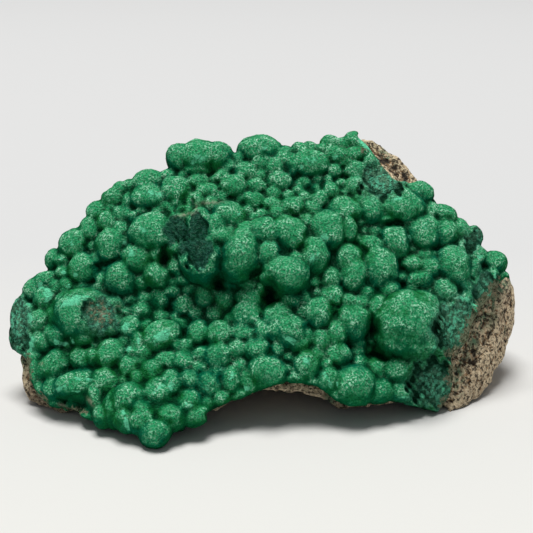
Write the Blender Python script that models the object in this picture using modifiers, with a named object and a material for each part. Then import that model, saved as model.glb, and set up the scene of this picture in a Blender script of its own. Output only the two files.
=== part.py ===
"""A cabinet specimen of malachite: a crust of round green knobs grown over broken brown host rock.

Two pieces, locked together as they grew: host_rock, which carries everything and stands on its feet,
and malachite_crust, the one skin of knobs over its front, its crest and its left end.
X runs along the stone, Y from its knobbed face to its back, Z up. The origin is on the surface that
the stone stands on, under the middle of its box.
"""

import math

import bmesh
import bpy
from mathutils import Matrix, Vector, geometry, noise

# Driving dimensions, in metres.
MM = 0.001
BOARD_CENTRE = Vector((-1.0, 0.0, 47.0)) * MM  # middle of the board that the knobs are laid out on
BOX_MIDDLE = Vector((0.79, -2.86, 0.0)) * MM  # middle of the laid-out stone's box: the origin in the end
BOARD_TILT = math.radians(19)  # how far the board leans back from upright
RIGHT = Vector((1, 0, 0))
RISE = Vector((0, math.sin(BOARD_TILT), math.cos(BOARD_TILT)))
AHEAD = Vector((0, math.cos(BOARD_TILT), -math.sin(BOARD_TILT)))
SIGHT_LENGTH = 376 * MM  # from the eye to the board: knobs in front of it or behind it keep their bearing
CRUST_THICKNESS = 8 * MM
SHEET_DEPTH = 4.8  # how far the middle of the crust lies behind its skin, in mm
KNOB_SPREAD = 1.27  # knobs run together: each is this much wider than what shows of it
STEM_SPREAD = 1.3
STEM_BEHIND = 0.55  # how far a stem's ball lies behind its knob's, in knob radii
KNOB_PROUD = 1.8  # how far in front of the skin the smallest knobs' middles lie, in mm
KNOB_SUNK = 0.35  # how much further back a wide knob's middle lies, per mm of its radius
DOME_RISE = 1.1  # how far a knob rises for its radius
DOME_FLATTENING = 0.03  # how much less a wide one rises, per mm of its radius
SEAM = 0.35 * MM  # gap between the crust and the rock that it grew on
CRUST_VOXEL = 1.25 * MM
ROCK_VOXEL = 1.8 * MM
CRUST_FACES = 6000
ROCK_FACES = 2200
ROCK_ROUGHNESS = 2.6 * MM

# The crust's knobs, field by field, in millimetres: across the board, up it, half its width, half its
# height, how far it is turned in degrees, and how far it stands out of its neighbours.
KNOBS = {
    "left_end": (
        (-67, 7.5, 5.2, 4.8, 20, 0), (-75, 2.5, 2.4, 3.2, 0, -1), (-71.5, 2, 2.6, 2.6, 0, 0),
        (-64, -1.5, 4.9, 5.2, 0, 0.3), (-70.5, -2.5, 3.2, 2.6, 0, 0), (-69.5, -7.5, 3.4, 3.2, 0, 0),
        (-77.5, -5, 4, 2.7, 15, 0), (-81.5, -8, 3, 3.8, -30, 0), (-74, -8.5, 2.6, 3.6, 0, -0.5),
        (-77.5, -12, 3.8, 4.2, 0, 0), (-64.5, -8.5, 3.8, 2.4, 0, 0), (-58.5, -8.5, 3.5, 2.4, 0, 0),
        (-69.5, -14, 5, 4.5, 20, 0.5), (-73.5, -16.5, 3.5, 3, 0, 0), (-71.5, -19.5, 4.2, 2.8, 0, -0.5),
        (-79, -19.5, 4.3, 3.8, 0, 0), (-83.5, -17, 2.8, 3.8, 0, 0), (-86, -16, 3, 5, -20, -1),
        (-86.5, -24, 3, 6, 0, -1), (-83, -26.5, 3.4, 4, 0, 0), (-78.5, -26.5, 3.8, 3.6, 0, 0),
        (-73, -24, 4, 3.5, 0, 0.3), (-68, -22.5, 3.8, 3, 0, 0), (-63.5, -24.5, 5, 4, 0, -0.5),
        (-63, -17.5, 9.5, 8, -8, 1), (-60.5, -14, 5, 4, 0, 0.5), (-54.5, -14.5, 4, 4, 0, 0),
        (-55, -21, 4.5, 4, 0, 0), (-66.5, -18.5, 3.2, 3.4, 0, 0),
    ),
    "left_foot": (
        (-80.5, -32, 3.2, 2.5, 0, -0.5), (-81, -38.5, 2.4, 5, 0, 0), (-77.5, -36.5, 3, 4.4, -20, 0.3),
        (-73.5, -35, 4.8, 5.4, -25, 0.5), (-69.5, -32, 2.8, 3.2, 0, -0.5), (-64.5, -32.5, 4.2, 4.4, 0, 0),
        (-60, -31.5, 3.6, 4, 0, 0.3), (-54.5, -31.5, 5, 5, 0, 0.5), (-69, -39, 3, 2.4, 0, 0),
        (-66, -41.5, 7.2, 4.2, 12, 1), (-74, -43.5, 3.7, 3.8, 0, 0.5), (-56, -41.5, 5, 4.8, 0, 0),
        (-59.5, -46.5, 3.2, 5.2, 0, 0), (-57.3, -52.5, 3, 3.4, 0, 0), (-53.5, -50, 3, 5.5, 0, 0),
        (-78.5, -43.5, 3, 3.2, 0, -0.5), (-74, -47.6, 2.8, 1.8, 10, -0.8), (-62.5, -51.3, 2.6, 2.4, 0, -0.8),
    ),
    "left_shoulder": (
        (-61.5, 12.5, 3.4, 4.3, 0, 0), (-59, 19, 3.5, 3.5, 0, 0), (-55.5, 15.5, 3.6, 3.6, 0, 0.3),
        (-53.5, 23.8, 3.8, 3, 0, 0), (-51, 27, 2.7, 2.2, 0, 0), (-47.8, 28, 2.4, 2.2, 0, 0),
        (-50, 18, 3.6, 3, 0, 0), (-54.5, 20.5, 2.4, 1.8, 0, 0), (-48, 22.5, 2.4, 3, 0, 0),
        (-46.5, 16.5, 2.6, 3, 0, -0.5), (-51, 12.5, 3, 3, 0, 0), (-54, 7, 5.2, 5.6, 0, 0.5),
        (-49.5, 8, 2.4, 3.2, 0, 0), (-41, 29, 5.2, 4.2, 0, -0.5), (-40.5, 24, 5.9, 4.4, 0, 0.8),
        (-31.5, 26, 4.9, 5, 0, 0.3), (-34.5, 32, 3.2, 2, 15, -1), (-31.5, 22, 2.8, 2.2, 0, 0),
        (-35, 20.5, 2.8, 2.4, 0, 0), (-38, 18, 2.8, 2.6, 0, 0), (-33, 18.8, 2.4, 2, 0, 0),
        (-43, 19, 3, 2.6, 0, -0.3), (-40, 11.5, 7.2, 5.8, -8, 1.5), (-33, 12, 3, 4.5, 0, 1),
        (-45, 2.5, 5.2, 4.6, 0, 0.5), (-38.5, -3, 4.7, 4.2, 0, 0), (-50.5, -4, 5.2, 5.6, 0, 0.8),
        (-44, -5, 3, 3, 0, 0), (-44, -8.7, 3, 2, 0, -0.5), (-48, -12, 3.2, 2.4, 0, -0.5),
        (-57, -5, 3, 3.2, 0, -0.5),
    ),
    "crest_left": (
        (-30.3, 38, 4, 4.2, 0, 0), (-23, 38.4, 6.5, 5.1, 0, 0.8), (-17, 37.8, 4.3, 5.2, 0, 0),
        (-24, 34.5, 5.5, 3, 0, -0.5), (-24, 29.7, 3.8, 2.6, 0, 0), (-20.3, 26, 4, 3, 0, 0),
        (-11, 27, 4.5, 4.3, 0, 0.3), (-15.5, 31.5, 2.9, 2.8, 0, 0), (-13.5, 34.7, 2.5, 2.4, 0, 0),
        (-18, 30.5, 2, 2, 0, -0.5), (-2.5, 40.6, 6.6, 4.6, 0, 0), (-7.3, 39.6, 2.3, 2.3, 0, -0.3),
        (-1.3, 36.2, 4.3, 3.2, 0, 0), (6.2, 39.6, 2.6, 2.2, 0, 0), (-7, 32.5, 3.9, 3.5, 0, 0),
        (-2, 31.8, 2.6, 2.6, 0, 0), (-3.8, 28, 3.6, 2.9, 0, 0), (4.3, 29.5, 4, 3.4, 0, 0.3),
        (2.6, 25.8, 3, 2.6, 0, 0), (-4.7, 22.5, 3.6, 3.2, 0, 0), (-9, 23, 2.2, 2.2, 0, -0.5),
        (1.7, 21.6, 3.8, 2.3, 0, 0), (-1.5, 18.4, 2.1, 1.6, 0, 0), (3.4, 18.2, 2.8, 2.7, 0, 0),
        (9, 20.5, 3.6, 3.7, 0, 0.3), (7.5, 24.6, 2.3, 2, 0, 0), (-7, 18.5, 2.2, 2.2, 0, -0.5),
    ),
    "shelf": (
        (-13, 17.3, 5.6, 4.2, -32, 1), (-18, 14, 3.8, 3.8, 0, 1), (-15, 10.3, 4.2, 3.2, 0, 0.5),
        (-23.5, 14.5, 3.4, 5, 0, 0.5), (-22.3, 2.5, 6.2, 7, -8, 1), (-27.5, 4.5, 3, 4.5, 0, 0),
        (-9.3, 4, 5.6, 7.6, -8, 1.5), (-7.5, 11, 3.4, 3.8, 0, 0.5), (-0.5, 11, 5.2, 5, 0, 1),
        (7, 11, 6, 5.6, 0, 1), (0.3, 4, 3.9, 4.6, 0, 0.5), (11.5, 8.5, 2.8, 3.5, 0, 0),
        (-31.5, 0.5, 3.2, 2.8, 0, -1.5), (-13.5, -4.5, 2, 2.3, 0, -1), (-28.5, -4.5, 3.2, 2.2, 0, -1),
    ),
    "crest_right": (
        (11.5, 41, 2.3, 2, 0, 0), (15.3, 41.4, 2.3, 2.1, 0, 0), (18.5, 40.8, 2.1, 1.9, 0, -0.3),
        (15, 35.5, 6.1, 4.5, 0, 0.8), (9.3, 35, 3.4, 4.2, 0, 0), (5.5, 36.5, 3.2, 3.4, 0, 0),
        (2.8, 34.6, 3.8, 3.4, 0, 0), (12.5, 29, 3, 2.1, 0, -0.3), (10.8, 26.5, 2, 1.9, 0, -0.3),
        (17, 27, 2, 1.7, 0, -0.3), (18.3, 23.3, 3.6, 3, 0, 0), (16, 19.5, 3, 3.2, 0, 0),
        (22.4, 25.8, 3.1, 3.1, 0, 0.3), (21.5, 30.3, 1.9, 1.9, 0, 0), (23.7, 33.5, 2.6, 2.6, 0, 0),
        (26.2, 28.7, 2, 1.8, 0, -0.3), (27.7, 25.5, 2, 1.7, 0, -0.3), (31.3, 33.5, 4, 3.2, 0, 0),
        (31.5, 27.5, 4, 3.6, 0, 0), (33, 22.6, 3.2, 2.6, 0, 0), (22.5, 43.2, 2.7, 2.3, 0, 0),
        (26.5, 43.2, 2.3, 1.9, 0, 0), (30.3, 44.5, 2.8, 2.5, 0, 0), (24.5, 39, 4.8, 3, 0, 0),
        (31, 39.5, 3.4, 3, 0, 0), (27.5, 36.5, 2.8, 2, 0, 0), (34.5, 41.5, 3.5, 2.6, -40, 0),
        (36.5, 36.5, 3, 3, 0, 0), (38.5, 30, 4, 4, 0, 0), (44.5, 29, 4, 2.5, 0, -0.3),
    ),
    "middle": (
        (27, 19, 5.6, 4.4, 0, 0.5), (21, 12, 5.9, 6.4, 0, 0.8), (28, 12.5, 3.6, 4.6, 0, 0.5),
        (16, 3, 4.8, 6.1, 0, 0.8), (16.5, -4.5, 2.6, 2.6, 0, -0.5), (13.3, -6, 2, 2.9, 0, 0),
        (22.5, 2.5, 1.8, 2.2, 0, -1), (22, -4.2, 3.4, 3.8, 0, 0.3), (28.5, 2, 4.5, 5, 0, 0.3),
        (30.5, -3.5, 5.2, 5.2, 0, 0.3), (36.5, 7, 4.2, 3.4, 0, 0), (39.7, -1.5, 5.6, 7, 0, 0.8),
        (45, 8, 4.9, 5.8, 15, 0.3), (36.4, 19.4, 4.5, 5, 0, 0.3), (38, 12, 3.4, 2, 0, -1),
        (34.3, 12.5, 2, 1.8, 0, -1), (47.3, 21, 7.3, 5.6, 0, 1), (53.5, 25.6, 4.4, 3.5, -15, -0.3),
        (57, 19.3, 3.2, 2.9, 0, 0), (62, 18.3, 4, 3, -15, 0),
    ),
    "right_field": (
        (55, 11.5, 5.9, 5.4, 0, 0.8), (62, 11, 4.6, 5, 0, 0.3), (67.3, 12.3, 3.5, 3.9, 0, -0.3),
        (72.5, 10, 2.8, 3.8, -20, -0.3), (70, 5.8, 4, 3.1, 0, 0), (74, 3.5, 3, 3, 0, -0.3),
        (51, 0.5, 4.1, 3.7, 0, 0), (55.5, 4, 3.6, 2.4, 0, 0), (56.7, -1, 3.9, 4.1, 0, 0.3),
        (53.5, -5, 4.6, 3.4, 0, 0), (46.8, -3.6, 2.4, 2.2, 0, -0.3), (65.3, -0.3, 5.8, 6.4, 0, 0.8),
        (68, -5, 3.2, 3, 0, 0), (73, -1.5, 2.6, 3.6, 0, -0.3), (75.7, -6, 3, 3.6, 0, -0.3),
        (80, 1.3, 3.7, 3.6, 0, 0), (79, -4, 2.6, 3.2, 0, 0), (70.7, -7.5, 3.4, 2.8, 0, 0),
        (58.7, -6.5, 2.5, 2.2, 0, 0), (62, -9, 4.4, 4.1, 0, 0.3), (50.5, -8.8, 3, 1.6, 0, -0.5),
        (77, -11, 2.8, 4, 0, -0.3), (70.5, -12, 4.2, 2.8, -20, 0.3), (66, -16, 4.5, 4, 0, 0),
        (71.5, -17.5, 3.5, 4, 0, 0), (65.5, -23, 5, 5, 0, 0), (69.5, -24, 3, 4, 0, 0),
        (60.3, -21, 3.6, 5.2, 0, 0), (61.5, -28, 4, 3.4, 0, 0),
    ),
    "recess": (
        (-31.5, -5.3, 3.6, 1.8, 0, -1), (-33, -8.3, 3.7, 2.9, 0, 0), (-37.7, -11.3, 4.2, 4.3, 0, 0.3),
        (-42.6, -11.6, 3.4, 3.1, 0, 0), (-44.2, -16, 3.8, 3, 0, 0), (-37.2, -18, 3.4, 2.7, 0, 0),
        (-32, -18.3, 2.3, 2.1, 0, 0), (-31, -21.2, 3.3, 2.6, 0, 0), (-28.8, -14.1, 4.3, 4.3, 0, 0.6),
        (-21.8, -10.6, 3.5, 4.3, 0, 0.3), (-24.6, -17.5, 3, 3.1, 0, 0), (-20.9, -17.8, 2, 2, 0, -0.5),
        (-18, -17.6, 3.2, 3.2, 0, 0), (-13.6, -12, 4.1, 4.2, 0, 0), (-17.7, -8.5, 2, 2.6, 0, -1),
        (-6, -5.9, 4, 2.4, 0, -1), (-10.7, -6, 2, 2, 0, -1), (-5.6, -11.2, 5, 4, 0, 0.8),
        (-6.4, -18.3, 5.5, 5.2, 0, 0.8), (-12, -19.7, 2.6, 3, 0, 0), (-7.5, -23.3, 4.6, 2.8, 0, 0.3),
        (-16.4, -24.5, 4.1, 4.3, 0, 0.3), (-23.6, -24, 3.4, 4.1, 0, 0),
    ),
    "left_face": (
        (-37, -25, 6.2, 4.7, 20, 1.2), (-47.8, -22, 3.4, 3.8, 0, 0.3), (-45.3, -27, 2.6, 3.4, 0, 0),
        (-42.5, -22, 2.5, 3, 0, 0), (-46.7, -30, 2.8, 2.4, 0, 0), (-43, -30.5, 3, 2.3, 0, 0),
        (-28, -28, 2.5, 2.5, 0, 0), (-34.3, -33.2, 4, 2.7, 0, 0), (-29.3, -33.8, 3.9, 3.4, 20, 0.3),
        (-37.5, -34, 2.3, 2.6, 0, 0), (-40.4, -37.6, 3.5, 4.1, 15, 0.3), (-45, -40.3, 2.8, 3.4, 0, -0.3),
        (-48, -36, 3.2, 4, 0, 0), (-44, -34, 2.4, 2, 0, 0), (-31, -28, 2, 2.5, 0, -0.3),
    ),
    "lower_face": (
        (-22, -31.4, 3.2, 2.6, 0, 0), (-23.3, -35.8, 3.1, 2.2, 0, 0), (-16.4, -32.3, 4.4, 4.3, 0, 0.5),
        (-17, -37.5, 3.2, 2.8, 0, 0), (-10.4, -30, 3.3, 3.7, 0, 0), (-9.5, -35, 2.9, 3, 0, 0),
        (-12.3, -40.3, 3.1, 4.3, 0, 0.3), (-3.3, -29.6, 4, 3.9, 0, 0.3), (-1.3, -23.2, 3, 3.9, 0, 0),
        (4, -18.5, 4.8, 4.8, 0, 0.8), (8, -23, 5.3, 5.2, 0, 0.8), (3.5, -23, 4, 4, 0, 0.3),
        (11, -27, 3.4, 3.2, 0, 0), (4, -29, 2.4, 2.9, 0, -0.3), (0, -37, 5.8, 5.1, 0, 0.8),
        (-6.6, -39.8, 3.3, 4.2, 10, 0), (7.5, -31.5, 2, 1.9, 0, -0.3), (4.6, -33.3, 1.7, 1.7, 0, -0.3),
        (7, -35.8, 1.8, 1.7, 0, -0.3), (9.8, -33, 1.7, 2, 0, -0.3), (9.6, -37, 1.9, 1.8, 0, -0.3),
        (10.5, -39.3, 3.4, 1.8, 0, 0), (14, -25.5, 2.6, 3.2, 0, -0.3),
    ),
    "promontory": (
        (-38, -44.8, 4.6, 4.8, 35, 0.6), (-33.8, -42.2, 3.6, 4.5, 0, 0.6), (-27.2, -40.7, 3.8, 3.7, 0, 0),
        (-20.4, -42.5, 4.1, 4.1, 0, 0.3), (-27.7, -48.4, 4, 4, 0, 0.3), (-33.8, -53, 4.1, 4.1, 0, 0.3),
        (-25, -52.7, 4, 2.9, 20, 0), (-21.7, -48, 2.4, 1.9, 0, 0), (-16.3, -46.2, 3, 2.3, 0, 0),
        (-39, -58.6, 4.3, 4, 0, 0.5), (-36.3, -56.5, 2.8, 2.8, 0, 0), (-43.4, -53.6, 4.1, 4.7, 0, 0),
        (-47.6, -47.6, 5.5, 5.6, 0, 0.8), (-49, -54, 3.6, 4, 0, 0),
    ),
    "lower_right": (
        (6.5, -3, 7.1, 5.4, -5, 0.8), (9, 2, 3.4, 3, 0, 0), (8.3, -11.6, 3.8, 3.3, 0, 0),
        (13, -11.2, 2.8, 3.4, 0, 0), (12.7, -17, 3.2, 3.2, 0, -0.3), (22.4, -10.8, 4.3, 4, -20, 0),
        (17.9, -17.2, 4.6, 5.4, 0, 0.6), (28.6, -12, 3.4, 3, 0, 0), (32.3, -13, 3.6, 3, 0, 0),
        (35, -9, 3.3, 2.9, 0, -0.3), (29.8, -20, 5.2, 5.6, 0, 0.8), (24, -24, 3.6, 4.3, 0, 0),
        (18.8, -26, 3.8, 3.5, 0, -0.2), (38.6, -15, 4, 4.8, -35, 0), (43, -9.3, 3.6, 3.8, -40, 0),
        (24.6, -31.2, 4.3, 3.4, 0, 0.2), (17.3, -30.5, 3.3, 2.4, 0, 0), (14, -34.7, 4.2, 4.6, 0, 0.5),
        (20.6, -34.8, 3, 2.9, 0, 0), (21.6, -39.8, 3.6, 4.1, 0, 0.2), (30.7, -42.2, 6.2, 6, 0, 0.8),
        (32.3, -34, 3.4, 2.9, 0, 0), (31, -30, 3, 1.8, 0, -0.3), (35, -29.5, 2.4, 2.4, 0, -0.5),
        (27, -35, 2.4, 1.7, 0, 0), (38, -37, 3.5, 4.3, 0, 0), (45, -36.7, 4.9, 4, 0, 0),
        (39.3, -43.7, 4.5, 3.6, 0, 0), (47, -43.7, 5.2, 3.4, 0, 0),
    ),
    "cluster_right": (
        (53.8, -15.3, 5.8, 5.6, 0, 1.4), (45.5, -21.5, 6.4, 7.4, 0, 1.6), (54, -26, 5.2, 5.6, 0, 1.2),
        (50, -20.5, 9, 9.8, 0, 1),
    ),
    "right_foot": (
        (56, -37, 4.5, 4.5, 0, 0), (61.5, -35, 3.8, 3.5, 0, 0), (57, -43, 5, 4.5, 0, 0),
        (62.5, -44, 3, 4.5, 0, 0), (60, -48, 4, 2.8, 0, 0),
    ),
}

# Where the crust's skin stands out of its even slope or dips into it, in millimetres:
# across, up, half width, half height, and how far out towards the eye.
SWELLS = (
    (-42, -60, 22, 20, 9),  # the front foot
    (-12, 8, 30, 14, 7),  # the overhanging shelf
    (-24, -14, 24, 9, -7),  # the hollow under it
    (6, -4, 10, 8, 4),
    (4, -24, 24, 12, 3),  # the belly over the arch
    (50, -22, 12, 12, 5),  # the cluster at the right
    (38, -28, 7, 9, -6),  # the hollow beside the cluster
    (62, -48, 16, 14, -7),  # the right foot
    (-64, -20, 16, 9, 3),  # the broken lump
)


# The crust's rim on the board, in millimetres, just inside the knobs that make its outline.
CRUST_RIM = (
    (-89, -22), (-86, -12), (-80, -5), (-74, -2), (-73, 4), (-66, 11), (-61, 17), (-58, 22), (-51, 26),
    (-41, 30), (-31, 32), (-27, 37), (-18, 39), (-14, 36), (-8, 38), (-2, 41), (7, 39), (15, 40), (24, 42),
    (31, 43), (37, 40), (42, 35), (46, 31), (51, 28), (58, 24), (66, 15), (73, 11), (77, 3), (80, 1),
    (83, -4), (80, -8), (77, -12), (73, -17), (70.5, -22), (69.5, -26), (65, -30), (65, -39), (63, -45),
    (60, -50), (49, -46), (38, -46), (27, -46.5), (17, -40.5), (9, -39.5), (-1, -41), (-10, -45),
    (-22, -50), (-32, -55), (-39, -59), (-43, -56), (-53, -53), (-62, -52), (-68, -50.5), (-74, -48.5),
    (-79, -45), (-82, -39), (-84, -32),
)
# Where the crust's edge was torn off flush, each line drawn with the crust on its left: across, up.
TORN_EDGES = (
    ((-22, -51), (-10, -46.5), (0, -42.5), (5, -41), (17, -41), (20, -43.5), (25, -47.5), (30, -49),
     (40, -48.5), (50, -48.5), (60, -51), (64, -45), (65.5, -39.5), (65, -34.5), (63.8, -31), (68, -28.5),
     (70.5, -25.5), (71.3, -21), (74, -16), (77.3, -11), (80.5, -7), (84, -3)),
    ((52, 29.5), (47, 29.4), (43.3, 30.5), (41.5, 34), (39.5, 37.2), (35.5, 41.5), (31.5, 46)),
    ((-89, -29), (-84.5, -32), (-83, -40), (-80.5, -44.5), (-76, -49), (-70, -51), (-62, -54)),
)
OVERHANG_KEPT = 1 / 6

# Flat faces where the knobs' fronts were knocked off: across, up, half width, half height, turn, how far
# the middle lies behind the skin, and how much it slopes back per mm across and per mm up.
BROKEN_FACES = (
    (-31.5, 13, 4.2, 5.0, 0, -4.2, 0.3, 0.2),  # under the thin rim, upper left
    (-24, 14, 3.6, 5.4, 0, -4.4, -0.2, 0.2),
    (-23.5, 4.5, 4.6, 6.0, -10, -5.2, -0.5, 0.2),
    (41, 30.5, 7.5, 6, 0, -2.8, 0.15, 0.2),  # the smooth three-cornered face, top right
    (73, 10, 4, 6, -25, -2.6, 0.4, 0.1),
    (60, -41, 8.5, 8.5, 0, -2.4, 0.3, 0.0),  # right foot
    (68, -21, 8, 10, -15, -2.2, 0.45, 0.0),  # broken edge at the right
    (78, -9, 5, 8, 15, -1.8, 0.5, 0.0),
    (-88, -20, 4.4, 10, 8, -1.4, -0.9, 0.0),  # left end
    (-58.5, -17, 6.5, 6, 0, -6.0, 0.2, 0.25),  # on the broken lump
)
FACE_REACH = 1.2  # a broken face fades out by this many of its half sizes
FACE_FADE = 0.3
RIM_GRID = 4  # spacing of the sheet's inner points, in mm


def sight(across, up, depth):
    """The place seen at this point of the board, this far behind it along the line of sight (mm)."""
    reach = 1 + depth * MM / SIGHT_LENGTH
    return BOARD_CENTRE + (RIGHT * across + RISE * up) * MM * reach + AHEAD * depth * MM


def board_measures(place):
    """How far across the board, up it and behind it a place is seen, in mm."""
    offset = place - BOARD_CENTRE
    depth = offset.dot(AHEAD)
    reach = MM * (1 + depth / SIGHT_LENGTH)
    return offset.dot(RIGHT) / reach, offset.dot(RISE) / reach, depth / MM


def skin_depth(across, up):
    """How far behind the board the crust's skin lies, in mm: it slopes back and rounds off at the ends."""
    end = (across + 5) / 80
    depth = -3 + 0.30 * up + (13 if across < -5 else 10) * end * end
    for x, z, half_width, half_height, out in SWELLS:
        depth -= out * math.exp(-(((across - x) / half_width) ** 2) - ((up - z) / half_height) ** 2)
    return depth


def apart(across, up, patch):
    """How far a place on the board lies from a patch's middle, in patch sizes: 1 is on its edge."""
    x, z, half_width, half_height, turn = patch[:5]
    cosine, sine = math.cos(math.radians(turn)), math.sin(math.radians(turn))
    along = (across - x) * cosine + (up - z) * sine
    over = (up - z) * cosine - (across - x) * sine
    return math.hypot(along / half_width, over / half_height)


def overhang(across, up, edge):
    """How far, and which way, a place on the board hangs past a torn edge."""
    here = Vector((across, up))
    corners = [Vector(corner) for corner in edge]
    ends = ((corners[0], corners[1]), (corners[-1], corners[-2]))
    if any((here - end).dot(inner - end) < 0 for end, inner in ends):
        return Vector((0, 0))
    nearest = None
    for start, end in zip(corners, corners[1:]):
        run = end - start
        share = min(max((here - start).dot(run) / run.length_squared, 0), 1)
        away = here - start - share * run
        if nearest is None or away.length < nearest.length:
            nearest, side = away, away.x * run.y - away.y * run.x
    return nearest if side > 0 else Vector((0, 0))


def ball_matrix(across, up, depth, sizes, turn):
    """Where an egg-shaped ball sits, how it is turned on the board, and its half sizes."""
    lean = Matrix.Rotation(-BOARD_TILT, 4, "X") @ Matrix.Rotation(-math.radians(turn), 4, "Y")
    return Matrix.Translation(sight(across, up, depth)) @ lean @ Matrix.Diagonal((*sizes, 1))


def collection(name, hidden=False):
    made = bpy.data.collections.new(name)
    made.hide_render = hidden
    bpy.context.scene.collection.children.link(made)
    return made


def new_object(name, mesh, where):
    made = bpy.data.objects.new(name, mesh)
    where.objects.link(made)
    return made


def apply_modifiers(obj):
    """Turns the object's modifiers into its own mesh."""
    graph = bpy.context.evaluated_depsgraph_get()
    mesh = bpy.data.meshes.new_from_object(obj.evaluated_get(graph))
    obj.modifiers.clear()
    obj.data = mesh


def remesh(obj, voxel):
    step = obj.modifiers.new("Remesh", "REMESH")
    step.mode = "VOXEL"
    step.voxel_size = voxel
    apply_modifiers(obj)


def thin_out(obj, faces):
    obj.data.calc_loop_triangles()
    step = obj.modifiers.new("Decimate", "DECIMATE")
    step.ratio = min(1, faces / len(obj.data.loop_triangles))
    step.use_collapse_triangulate = True
    apply_modifiers(obj)


def cut(obj, cutter, operation="DIFFERENCE"):
    step = obj.modifiers.new("Cut", "BOOLEAN")
    step.operation = operation
    step.solver = "EXACT"
    step.object = cutter
    apply_modifiers(obj)


def keep_largest_body(obj):
    """Drops the crumbs that a cut leaves beside the main body."""
    work = bmesh.new()
    work.from_mesh(obj.data)
    unseen = set(work.verts)
    bodies = []
    while unseen:
        body = {unseen.pop()}
        edge = set(body)
        while edge:
            edge = {e.other_vert(v) for v in edge for e in v.link_edges} - body
            body |= edge
        unseen -= body
        bodies.append(body)
    main = max(bodies, key=len)
    bmesh.ops.delete(work, geom=[v for v in work.verts if v not in main], context="VERTS")
    work.to_mesh(obj.data)
    work.free()


def principled(name, colour, roughness):
    material = bpy.data.materials.new(name)
    material.use_nodes = True
    shader = material.node_tree.nodes["Principled BSDF"]
    shader.inputs["Base Color"].default_value = (*colour, 1)
    shader.inputs["Roughness"].default_value = roughness
    shader.inputs["Metallic"].default_value = 0
    material.diffuse_color = (*colour, 1)
    return material


def hull(points):
    """A broken block of rock: the tightest flat-sided form round its corners, given in mm."""
    work = bmesh.new()
    for point in points:
        work.verts.new(Vector(point) * MM)
    bmesh.ops.convex_hull(work, input=work.verts[:])
    loose = [v for v in work.verts if not v.link_faces]
    bmesh.ops.delete(work, geom=loose, context="VERTS")
    bmesh.ops.recalc_face_normals(work, faces=work.faces[:])
    mesh = bpy.data.meshes.new("block")
    work.to_mesh(mesh)
    work.free()
    return mesh


def seen(across, up, depth):
    """A block's corner given on the board, in mm."""
    return tuple(sight(across, up, depth) / MM)


def rock_blocks():
    """The corners of the blocks that the host rock is broken into, in mm."""
    body = [
        (-74, 4, 24), (-68, 0, 7), (-64, 8, 50), (-50, 12, 62), (-66, 22, 5), (-42, 28, -3), (8, 32, -3),
        (56, 28, -3), (76, 20, 8), (-60, 22, 52), (-42, 26, 70), (-20, 29, 79), (32, 31, 85), (54, 30, 70),
        (78, 26, 46), (-34, -12, 14), (-4, -17, 15), (30, -16, 14), (56, -8, 10), (70, 2, 34), (50, 18, 66),
        (24, 24, 79),
    ]
    back_ridge = [
        (-52, 24, 6), (-44, 30, 44), (-28, 41, 24), (-8, 43, 8), (-30, 34, 0), (4, 42, 40), (-12, 34, 62),
        (14, 34, 4), (0, 20, 30), (-40, 20, 20),
    ]
    back_shoulder = [
        (18, 36, 10), (34, 42, 18), (56, 40, 12), (70, 32, 4), (62, 38, 44), (36, 38, 60), (28, 32, 0),
        (74, 26, 30), (40, 16, 30), (20, 30, 50),
    ]
    right_end = [
        seen(76, 5, 20), seen(80.5, 5.5, 22), seen(84.5, 0.5, 24), seen(88, -7, 25), seen(88.5, -12.5, 25),
        seen(87.5, -21, 23), seen(86, -30, 19), seen(80, -43, 10), seen(73, -50, 3), seen(64, -55, -4),
        seen(71, -24, 2), seen(62, -42, -3), seen(80, -10, 11), seen(84, -12, 13), seen(83, -21, 10),
        seen(80, -32, 7), seen(74, -42, 0), (56, 10, 50), (50, 0, 8), (84, 34, 8),
        (88, 36, 30), (70, 36, -3), (60, 10, -3),
    ]
    crest = [
        seen(33, 47, 20), seen(38.5, 46, 24), seen(45.5, 41, 24), seen(51.5, 35, 22), seen(54.5, 29.5, 20),
        seen(30, 36, 24), seen(46, 24, 22), (20, 30, 60), (30, 40, 66), (60, 30, 50),
    ]
    left_foot = [
        (-89, -1, 17), (-87, -5, 5), (-79, -15, -1), (-70, -15, -1), (-60, -14, 1), (-84, 12, -1),
        (-86, 14, 20), (-62, 4, 30), (-50, 10, -2), seen(-88, -29, 3), seen(-87.5, -37, 0),
        seen(-86.5, -42, 0), seen(-84.5, -49, 0), seen(-80, -52, -1), seen(-72, -52, -3), seen(-65, -53, -8),
    ]
    front_foot = [
        (-48, -26, -1), (-38, -33, -1), (-31, -27, -1), (-44, -24, 12), (-34, -24, 14), (-52, 2, 8),
        (-24, -6, 14), (-60, -12, 0), (-25, -6, 4), (-66, 4, 4), (-22, 8, 6),
    ]
    ledge = [
        seen(-24, -54, -12), seen(-9, -49.5, -9), seen(6, -43.5, -9), seen(16, -47.5, -8),
        seen(21, -50.5, -7), seen(30, -51.5, -6), seen(42, -51, -6), seen(54, -50, -4),
        seen(-24, -46, -10), seen(6, -36, -6),
        seen(40, -42, -5), seen(56, -42, -4), (-24, 4, 9), (50, 4, 9), (0, 0, 24), (40, 0, 24),
    ]
    return body, back_ridge, back_shoulder, right_end, crest, left_foot, front_foot, ledge


def roughen(obj, amount):
    """Breaks the rock's flat sides up into lumps and pits."""
    for vertex in obj.data.vertices:
        place = vertex.co / MM
        lumps = noise.fractal(place / 14, 0.9, 2.1, 3)
        pits = noise.fractal(place / 4.5 + Vector((7, 3, 5)), 0.9, 2.0, 2)
        vertex.co += vertex.normal * amount * (0.7 * lumps + 0.35 * pits)


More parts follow.
